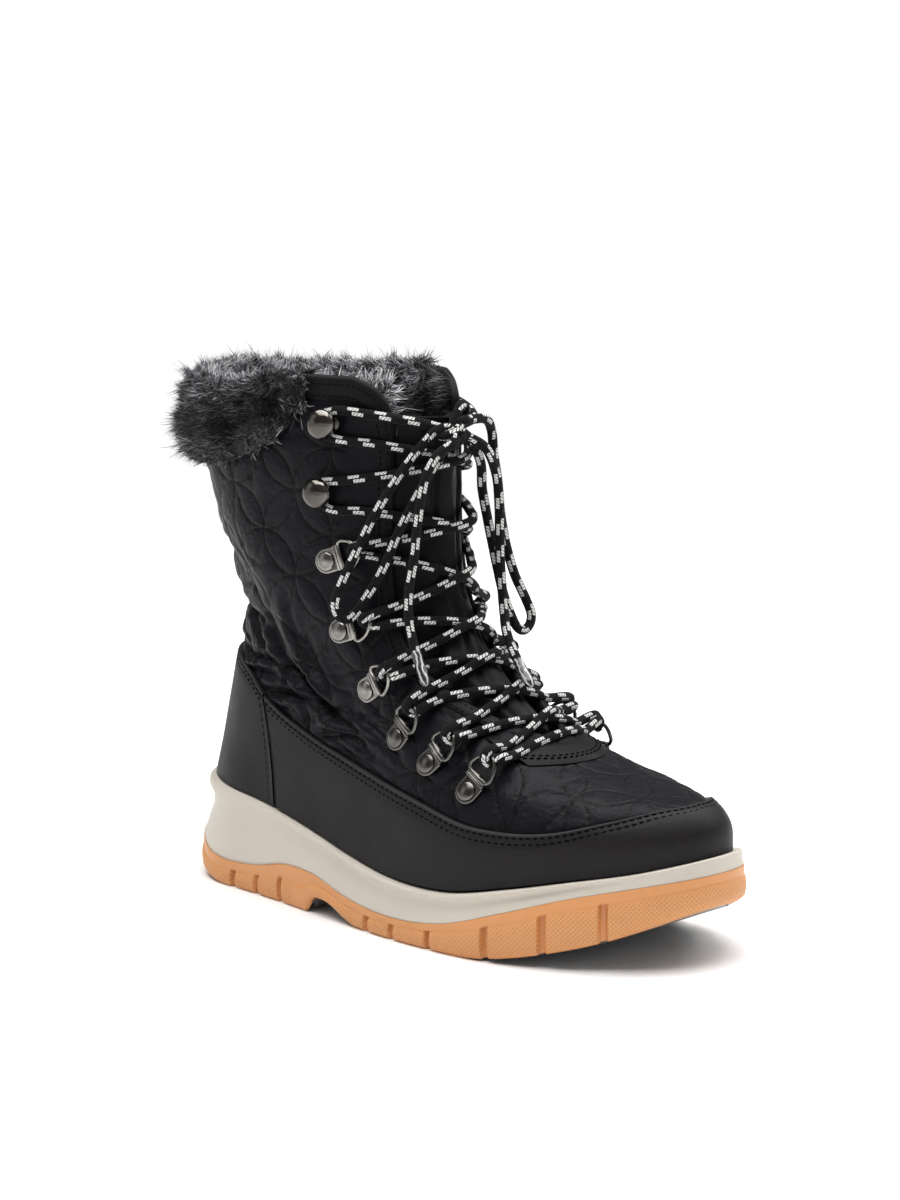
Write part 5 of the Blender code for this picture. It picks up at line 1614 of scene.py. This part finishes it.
def tuft_hairs():
    """Strong hairs in tufts that lean together, parted on the lateral side as in the photo."""
    end = CUFF[-1].a
    count = TUFT_HAIRS
    place = rng.uniform(-1, 1, count) * end
    along = rng.uniform(*CUFF_STEPS, count)
    column = np.round(place / TUFT_S + 0.14 * rng.normal(size=count))
    row = np.round(along / TUFT_V + 0.5 * (column % 2) + 0.14 * rng.normal(size=count))
    chance = [0.5 + 0.5 * noise(column * 3.0 + 17 * k, row * 5.0 + 29 * k, 1.0) for k in range(6)]
    tuft_place = np.clip((column + 0.7 * (chance[0] - 0.5)) * TUFT_S, -end, end)
    tuft_along = np.clip((row - 0.5 * (column % 2) + 0.7 * (chance[1] - 0.5)) * TUFT_V, *CUFF_STEPS)
    root = cuff_point(place, along, 0.5)
    own = cuff_point(place, along, 0.97)
    shared = cuff_point(tuft_place, tuft_along, 1.0)
    lean = np.stack(chance[2:5], axis=-1) * 2 - 1
    tip = 0.42 * own + 0.58 * shared + 4.0 * lean * np.array((1.0, 1.0, 0.8))
    ways = unit(tip - root + 1e-6) + rng.normal(size=(count, 3)) * 0.12
    step = 0.004
    sideways = unit(surface(place + step, 0.95) - surface(place - step, 0.95))
    parted = np.clip((place - FUR_PART) / 0.02, -1, 1) * bell(place, 0.06, FUR_PART)
    loose = np.sign(place) * ease((np.abs(place) - end + 0.05) / 0.05) * rng.uniform(-0.2, 1.2, count)
    ways = ways + sideways * (0.9 * parted + loose)[:, None]
    centre = np.hypot((place - tuft_place) / TUFT_S, (along - tuft_along) / TUFT_V)
    deep = hollow(place, along)
    lengths = np.linalg.norm(tip - root, axis=1) * rng.uniform(0.55, 1.08, count)
    lengths = lengths * (1.08 - 0.35 * centre) + 0.8
    lengths = lengths * (1 - 0.3 * bell(place, 0.016, FUR_PART)) * (1 - 0.3 * deep)
    broad = 0.5 + 0.5 * noise(place * PLACE_WIDE, along * 6.0, 15.0)
    # Painted shade: fewer pale hairs and darker tones in the hollows and away from the tuft centres, and
    # painted light along the roll.
    pale = rng.random(count) < 0.46 * (1 - 0.9 * deep) * (0.35 + 0.9 * chance[5])
    tones = np.where(pale, rng.uniform(0.45, 1.0, count), rng.uniform(0.02, 0.10, count))
    tones = tones * (0.55 + 0.6 * broad) * (1.1 - 0.5 * np.minimum(centre, 0.95)) * (1 - 0.6 * deep)
    tones = tones * np.interp(along, *zip(*FUR_PAINTED_LIGHT))
    widths = np.where(pale, rng.uniform(0.30, 0.50, count), rng.uniform(0.25, 0.42, count))
    lengths = np.where(rng.random(count) < 0.03, lengths * 1.12 + 0.6, lengths)
    return hair_blades(root, ways, lengths, widths, tones, 0.2, (0.01, 0.06, 0.55, 1.0))


def fine_fluff():
    """Thin grey hairs between the tufts."""
    count = FLUFF_HAIRS
    place = rng.uniform(-1, 1, count) * CUFF[-1].a
    along = rng.uniform(*CUFF_STEPS, count)
    root = cuff_point(place, along, 0.6)
    reach = cuff_point(place, along, 1.0) - root
    ways = unit(reach + 1e-6) + rng.normal(size=(count, 3)) * 0.35
    deep = hollow(place, along)
    lengths = np.linalg.norm(reach, axis=1) * rng.uniform(0.8, 1.3, count) + 0.6
    lengths = lengths * (1 - 0.45 * deep)
    # Painted shade in the hollows, and painted light along the roll.
    tones = rng.uniform(0.06, 0.5, count) * (1 - 0.93 * deep) * np.interp(along, *zip(*FUR_PAINTED_LIGHT))
    widths = rng.uniform(0.10, 0.17, count)
    return hair_blades(root, ways, lengths, widths, tones, 0.3, (0.02, 0.15, 0.6, 1.0))


def make_fur_hairs():
    hairs = tuft_hairs()
    hair_piece("fur_fluff", fine_fluff())
    hair_piece("fur_hairs", hairs, replaces=("fur_cuff",))


def make_lining_hairs():
    """Paler, longer pile inside the collar, kept inside the shell."""
    count = LINING_HAIRS
    height = rng.uniform(*LINING_SPAN, count)
    place = rng.uniform(-1, 1, count) * LINING_END
    root = lifted(place, height, -WALL - 0.2)
    column = np.round(place * 28 + 0.2 * rng.normal(size=count))
    row = np.round(height * 36 + 0.2 * rng.normal(size=count))
    lean = np.stack([noise(column * 3.0 + 13 * k, row * 5.0 + 31 * k, 1.0) for k in range(3)], axis=-1)
    inward = -normals(place, height)
    ways = inward + lean + rng.normal(size=(count, 3)) * 0.25
    ways[:, 2] += 0.75
    reach = np.sum(ways * inward, axis=1)
    ways = ways + inward * np.maximum(0.55 - reach, 0.0)[:, None]
    lengths = rng.uniform(6.0, 11.5, count) * np.interp(height, (0.82, 0.99), (1.0, 0.85))
    chance = 0.5 + 0.5 * noise(column * 3.0 + 5, row * 5.0 + 3, 1.0)
    broad = 0.5 + 0.5 * noise(place * PLACE_WIDE, height * UPPER_TALL, 14.0)
    pale = rng.random(count) < 0.75 * (0.4 + 0.9 * chance)
    tones = np.where(pale, rng.uniform(0.8, 1.3, count), rng.uniform(0.15, 0.5, count)) * (0.55 + broad)
    # Painted light: the lining hairs are darker deep inside and towards the throat, paler at the top edge.
    tones = tones * np.interp(height, *zip(*LINING_PAINTED_LIGHT_BY_HEIGHT)) * np.interp(place, *zip(*LINING_PAINTED_SHADE_BY_PLACE))
    widths = rng.uniform(0.20, 0.40, count)
    hair_piece("lining_hairs", hair_blades(root, ways, lengths, widths, tones, 0.22, (0.05, 0.2, 0.7, 1.0)))


# Hardware: sizes in the axes of a seat, u along the plate, v across it and h out of the boot

Seat = namedtuple("Seat", "origin u v h")
SHOWN_BAR_U = 7.4
SHOWN_END_U = 17.0
SHOWN_HALF = 6.3
RING_SIDES = 10
# Painted shade: the lowest loops, and the share of their painted shine that they keep
LOW_LOOPS = 3
LOW_PAINTED_SHINE = 0.45
PLATE_R = 5.2
# Inset, height and painted shine: painted highlight on the rolled rim, painted shade at its foot and towards
# its middle
PLATE_RIM = ((0.0, 0.0, 0.1), (0.0, 0.6, 0.7), (0.25, 0.95, 1.0), (0.55, 1.05, 0.8), (1.1, 0.95, 0.3))
# Place along the plate and radius of its two folds, then the place across and share of the radius
FOLDS = ((5.7, 0.95), (7.4, 1.3))
BAR_ENDS = ((-5.3, 0.5), (-5.2, 0.85), (-4.95, 1.0), (4.95, 1.0), (5.2, 0.85), (5.3, 0.5))
BAR_SIDES = 14
# Radius, height and painted shine: painted highlights on the rivet's shoulder and crown, painted shade at its
# foot
RIVET = (
    (4.05, 0.0, 0.0), (4.0, 0.35, 0.25), (3.75, 0.7, 1.0), (3.2, 0.95, 0.75), (2.5, 1.2, 0.55),
    (1.7, 1.42, 0.6), (0.8, 1.55, 0.8), (0.02, 1.6, 0.9),
)
RIVET_SIDES = 24
# Radius and height of a hook, and its painted shine by height: painted highlight round the ball's widest rim,
# painted shade on its stem and top
HOOK_TURN = (
    (5.2, 0.2), (5.2, 0.7), (4.8, 1.1), (2.4, 1.25), (2.0, 1.8), (2.0, 4.6), (2.6, 5.2), (5.0, 5.4),
    (6.0, 6.0), (6.35, 6.9), (6.3, 7.8), (5.9, 8.8), (5.1, 9.7), (4.1, 10.35), (2.9, 10.8), (1.5, 11.1),
    (0.02, 11.2),
)
HOOK_PAINTED_SHINE = ((5.4, 0.1), (6.4, 1.0), (7.6, 1.0), (9.0, 0.35), (11.0, 0.12))
HOOK_SIDES = 28


def seat(s, b, toward_s, toward_b):
    """Axes on the upper at a place, with u towards another place."""
    origin = surface(s, b)
    h = normals(s, b)
    u = surface(toward_s, toward_b) - origin
    u = unit(u - h * (u @ h))
    return Seat(origin, u, np.cross(h, u), h)


def loop_seat(side, row):
    return seat(side * row.rivet_a, row.rivet_b, side * row.ring_a, row.ring_b)


def hook_seat(side, row):
    return seat(side * row.a, row.b, side * (row.a + 0.05), row.b)


def on_seat(where, points):
    points = np.asarray(points, float)
    return where.origin + points[:, :1] * where.u + points[:, 1:2] * where.v + points[:, 2:] * where.h


def turned(profile, sides):
    """Solid of revolution round h from (radius, height) pairs."""
    turns = np.arange(sides) * 2 * np.pi / sides
    flat = np.stack((np.cos(turns), np.sin(turns)), axis=-1)
    rings = [np.concatenate((r * flat, np.full((sides, 1), h)), axis=1) for r, h in profile]
    return np.concatenate(rings), grid_quads(len(profile), sides, close=True)


def stamped_plate(low):
    """Plate of one loop, round behind and straight in front, with a rolled rim."""
    turns = [math.radians(turn) for turn in np.linspace(90, 270, 19)]
    outline = [(PLATE_R * math.cos(t), PLATE_R * math.sin(t)) for t in turns]
    outline += [(3.0, -5.15), (6.2, -5.1), (8.2, -5.1), (8.2, 5.1), (6.2, 5.1), (3.0, 5.15)]
    outline = np.array(outline)
    count = len(outline)
    rows = []
    painted_shine = []
    for inset, height, tone in PLATE_RIM:
        ring = outline * (1 - inset / 5.0)
        rows.append(np.concatenate((ring, np.full((count, 1), low + height)), axis=1))
        painted_shine += [tone] * count
    points = np.concatenate(rows + [[(1.5, 0.0, low + 0.95)]])
    last = (len(rows) - 1) * count
    tris = [(last + j, last + (j + 1) % count, last + count) for j in range(count)]
    return points, grid_quads(len(rows), count, close=True), tris, painted_shine + [0.3]


def folded_bar(place, size, low):
    """Round bar across a plate, where its sheet is folded over the ring."""
    turns = np.arange(BAR_SIDES) * 2 * np.pi / BAR_SIDES
    height = low + 1.0 + size * 0.45
    rings = []
    for across, share in BAR_ENDS:
        rings.append(np.stack((
            place + size * share * np.cos(turns),
            np.full(BAR_SIDES, across),
            height + size * share * np.sin(turns),
        ), axis=-1))
    ends = np.array([(place, BAR_ENDS[k][0], height) for k in (0, -1)])
    total = len(rings) * BAR_SIDES
    rear = total - BAR_SIDES
    tris = [(total, (j + 1) % BAR_SIDES, j) for j in range(BAR_SIDES)]
    tris += [(total + 1, rear + j, rear + (j + 1) % BAR_SIDES) for j in range(BAR_SIDES)]
    # Painted light: the top of the bar is painted as highlight, its underside as shade.
    tones = np.tile(np.clip(0.15 + 0.85 * np.sin(turns), 0.05, 1.0), len(rings))
    points = np.concatenate(rings + [ends])
    return points, grid_quads(len(rings), BAR_SIDES, close=True), tris, [*tones, 0.5, 0.5]


def plate_parts():
    """Plate, folded double bar and rivet of one loop: points, faces and painted shine in their own axes."""
    low = PLATE_LIFT - PLATE_THICK / 2
    points, quads = turned([(r, low + 0.9 + h) for r, h, _ in RIVET], RIVET_SIDES)
    rivet = (points, quads, (), np.repeat([tone for _, _, tone in RIVET], RIVET_SIDES))
    return [stamped_plate(low)] + [folded_bar(*fold, low) for fold in FOLDS] + [rivet]


def ring_line():
    """Middle line of a D ring: a straight bar in the fold and a round bow."""
    points = [(SHOWN_BAR_U, SHOWN_HALF * k, RING_LIFT - 0.4) for k in (-0.75, 0.0, 0.75)]
    for turn in np.linspace(82, -82, 15):
        t = math.radians(turn)
        reach = SHOWN_BAR_U + 0.9 + (SHOWN_END_U - SHOWN_BAR_U - 0.9) * math.cos(t)
        points.append((reach, SHOWN_HALF * math.sin(t), RING_LIFT + math.cos(t)))
    return smooth_path(points, 0.7, closed=True)


def make_hardware():
    """Plates, rings and hooks of both sides, with a mark of painted light: painted highlights on their rims
    and painted shade in their hollows.
    """
    kinds = ("plate", "ring", "hook")
    batches = {kind: Batch() for kind in kinds}
    names = {kind: [] for kind in kinds}
    painted_shine = {kind: [] for kind in kinds}
    parts = plate_parts()
    wire = ring_line()
    hook, hook_quads = turned(HOOK_TURN, HOOK_SIDES)
    hook_painted_shine = np.repeat(np.interp([h for _, h in HOOK_TURN], *zip(*HOOK_PAINTED_SHINE)), HOOK_SIDES)
    for side, word in SIDES:
        for k, row in enumerate(SIDE_LOOPS[side]):
            where = loop_seat(side, row)
            # Painted shade: the lowest loops and their rings are painted darker than the upper ones.
            share = LOW_PAINTED_SHINE if k < LOW_LOOPS else 1.0
            for points, quads, tris, tones in parts:
                batches["plate"].add(on_seat(where, points), quads, tris)
                painted_shine["plate"].append(np.asarray(tones) * share)
            add_tube(batches["ring"], on_seat(where, wire), RING_WIRE, RING_SIDES, closed=True)
            painted_shine["ring"].append(np.full(len(wire) * RING_SIDES, 0.85 * share))
            names["plate"].append("loop_plate_%s_%d" % (word, k + 1))
            names["ring"].append("d_ring_%s_%d" % (word, k + 1))
        for k, row in enumerate(HOOKS):
            batches["hook"].add(on_seat(hook_seat(side, row), hook), hook_quads)
            painted_shine["hook"].append(hook_painted_shine)
            names["hook"].append("hook_%s_%d" % (word, k + 1))
    for kind, made in zip(kinds, (GUNMETAL, GUNMETAL, POLISHED)):
        marks = {"painted_shine": np.concatenate(painted_shine[kind])}
        batches[kind].piece("lace_%ss" % kind, made, replaces=names[kind], slot="gunmetal", marks=marks)


# Lace

Exit = namedtuple("Exit", "a b lift seats hook")


def lace_exits():
    """Where the lace leaves each ring and hook, from the toe up, on both sides."""
    exits = []
    for k in range(len(LOOPS)):
        rows = {s: SIDE_LOOPS[s][k] for s, _ in SIDES}
        a = {s: r.rivet_a + (r.ring_a - r.rivet_a) * RING_EXIT for s, r in rows.items()}
        b = {s: r.rivet_b + (r.ring_b - r.rivet_b) * RING_EXIT for s, r in rows.items()}
        exits.append(Exit(a, b, LACE_LIFT, {s: loop_seat(s, r) for s, r in rows.items()}, False))
    for row in HOOKS:
        a = {s: row.a + HOOK_EXIT for s, _ in SIDES}
        b = {s: row.b for s, _ in SIDES}
        exits.append(Exit(a, b, HOOK_LACE_LIFT, {s: hook_seat(s, row) for s, _ in SIDES}, True))
    return exits


def track(row, side, up):
    """Shift of the lower or upper run of lace from the middle of its ring or hook."""
    return row.seats[side].v * (-side * up * (HOOK_TRACK if row.hook else TRACK))


def surface_over(point, way, s, b):
    """Place of the upper that a line from a point meets, from a first guess."""
    step = 0.003
    for _ in range(12):
        here = surface(s, b)
        columns = (surface(s + step, b) - here, surface(s, b + step) - here)
        miss = point - here
        flat = [c / step - way * (c @ way) / step for c in columns]
        move = np.linalg.lstsq(np.stack(flat, axis=1), miss - way * (miss @ way), rcond=None)[0]
        s = s + float(np.clip(move[0], -0.05, 0.05))
        b = min(b + float(np.clip(move[1], -0.05, 0.05)), 1.0 - step)
    return s, b


def run_points(start, end, side, start_up, hump):
    """Lace laid over the throat between an exit on one side and an exit on the other."""
    a0, b0 = start.a[side], start.b[side]
    a1, b1 = end.a[-side], end.b[-side]
    first = surface(side * a0, b0) + track(start, side, start_up)
    last = surface(-side * a1, b1) + track(end, -side, -1)
    way = normals(side * a0, b0) + normals(-side * a1, b1)
    way = unit(way * np.array((1.0, 1.0, 0.45)))
    points = []
    for t in np.linspace(0.11, 0.89, 11):
        turn = (1 - a0) * (1 - t) - (1 - a1) * t
        s, b = surface_over(first + (last - first) * t, way, side * (1 - turn), b0 + (b1 - b0) * t)
        sag = -1.2 * np.sin(np.pi * t)
        lift = start.lift + (end.lift - start.lift) * t + sag + hump * bell(t, 0.14, 0.5)
        points.append(surface(s, b) + normals(s, b) * lift)
    return points


def turn_points(row, side):
    """Lace round a ring's bow or a hook's stem, from its lower run to its upper run."""
    local = HOOK_WRAP if row.hook else RING_WRAP
    return list(on_seat(row.seats[side], [(u, -side * v, h) for u, v, h in local]))


def lace_half(exits, first_side):
    """One half of the lace, from the middle of the toe bar up to the knot."""
    points = run_points(exits[0], exits[0], -first_side, -1, 0.0)[5:]
    side = first_side
    for here, then in zip(exits[:-1], exits[1:]):
        points += turn_points(here, side)
        points += run_points(here, then, side, 1, CROSSING_HUMP if side == LATERAL else 0.0)
        side = -side
    last = exits[-1]
    points += turn_points(last, side)
    for t, raised in ((0.25, 1.2), (0.5, 1.0), (0.75, 0.2)):
        a = last.a[side] + (0.965 - last.a[side]) * t
        laid = lifted(side * a, last.b[side] + 0.008 * t, last.lift + 2.0 * t)
        points.append(laid + track(last, side, 1) * (1 - t) + np.array((0.0, 0.0, raised)))
    points.append(np.array(KNOT) + np.array((-1.0, side * 2.0, 0.0)))
    return points


def add_lace(batch, uvs, path, phase, radius):
    """Lace tube with its length and turn kept for the fleck pattern."""
    before = batch.count
    add_tube(batch, path, radius, LACE_SIDES, facing=LACE_FACING)
    quads = batch.quads[-1] - before
    tris = batch.tris[-1] - before
    lengths = run_along(path)
    lengths = np.concatenate(((-1.0, -0.5), lengths, (lengths[-1] + 0.5, lengths[-1] + 1.0))) + phase
    ring = np.minimum(quads // LACE_SIDES, len(lengths) - 1)
    turn = (quads % LACE_SIDES) / LACE_SIDES
    turn[:, 1:3] = np.where(turn[:, 1:3] == 0.0, 1.0, turn[:, 1:3])
    uvs[0].append(np.stack((lengths[ring], turn), axis=-1).reshape(-1, 2))
    uvs[1].append(np.tile(np.array((phase + 6.5, 0.5)), (tris.size, 1)))


def lace_piece(name, paths, made, slot, radius, **kind):
    batch = Batch()
    uvs = ([], [])
    for k, path in enumerate(paths):
        add_lace(batch, uvs, path, 3.7 * k + 1.3, radius)
    uv = (np.concatenate(uvs[0]), np.concatenate(uvs[1]))
    return batch.piece(name, made, slot=slot, uv=uv, **kind)


def knot_lines():
    """Two wraps of the knot, the tuck behind it and the short starts of the bow's loops and ends."""
    knot = np.array(KNOT)
    turns = np.linspace(0, 2 * np.pi, 15)[:-1]
    lines = []
    for centre, tilt, (long, tall) in KNOT_WRAPS:
        loop = np.stack((
            long * np.cos(turns),
            tall * np.sin(turns) * 0.9,
            tilt * long * np.cos(turns) + 2.0 * np.sin(turns),
        ), axis=-1)
        lines.append(smooth_path(np.concatenate((loop, loop[:1])) + knot + np.array(centre), 1.0))
    lines.append(smooth_path(np.array(KNOT_TUCK) + knot, 1.0))
    for route in (LEFT_LOOP, LEFT_LOOP[::-1], LEFT_END, RIGHT_LOOP, RIGHT_LOOP[::-1], RIGHT_END):
        first = np.array(route[0])
        ahead = np.array(route[1]) - first
        hidden = knot + 0.25 * (first - knot) + np.array((1.0, 0.0, 1.5))
        lines.append(smooth_path((knot, hidden, first - 0.18 * ahead, first + 0.22 * ahead), 1.0))
    return lines


def make_lace():
    exits = lace_exits()
    halves = [smooth_path(lace_half(exits, side), LACE_STEP) for side in (LATERAL, MEDIAL)]
    crossings = ["lace_crossing_%d" % k for k in range(1, len(exits))]
    runs = ["lace_bar"] + crossings + ["lace_top_lateral", "lace_top_medial"]
    lace_piece("lace_runs", halves, LACE, "lace_cord", LACE_D / 2, replaces=runs)
    lace_piece("lace_bow_knot", knot_lines(), LACE, "lace_cord", LACE_D / 2, replaces=("lace_knot",))
    routes = (
        ("bow_loop_left", LEFT_LOOP, "lace_loop_left", "knot"),
        ("bow_end_left", LEFT_END, "lace_end_left", "bare"),
        ("bow_loop_right", RIGHT_LOOP, "lace_loop_right", "knot"),
        ("bow_end_right", RIGHT_END, "lace_end_right", "bare"),
    )
    for name, route, node, far_end in routes:
        path = smooth_path(route, LACE_STEP)
        obj = lace_piece(name, [path], LACE, "lace_cord", LACE_D / 2, replaces=(node,))


def make_lace_tips():
    """Clear plastic tips over the two lace ends."""
    paths = []
    for route in (LEFT_END, RIGHT_END):
        path = smooth_path(route, 1.0)
        away = run_along(path[::-1])[1:]
        paths.append(path[-int(np.searchsorted(away, LACE_TIP)):])
    lace_piece("lace_tips", paths, TIP, None, LACE_D / 2 + 0.1)


def dress_insole():
    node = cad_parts["insole"]
    node.data.materials.clear()
    node.data.materials.append(FELT)


make_camera()
make_stage()
make_lace()
make_lace_tips()
make_midsole()
make_outsole()
make_upper()
make_lining()
make_leather()
make_tapes()
make_throat_band()
make_tongue()
make_fur_backing()
make_fur_hairs()
make_lining_hairs()
make_hardware()
THREADS.piece("sewing_threads", THREAD)
dress_insole()
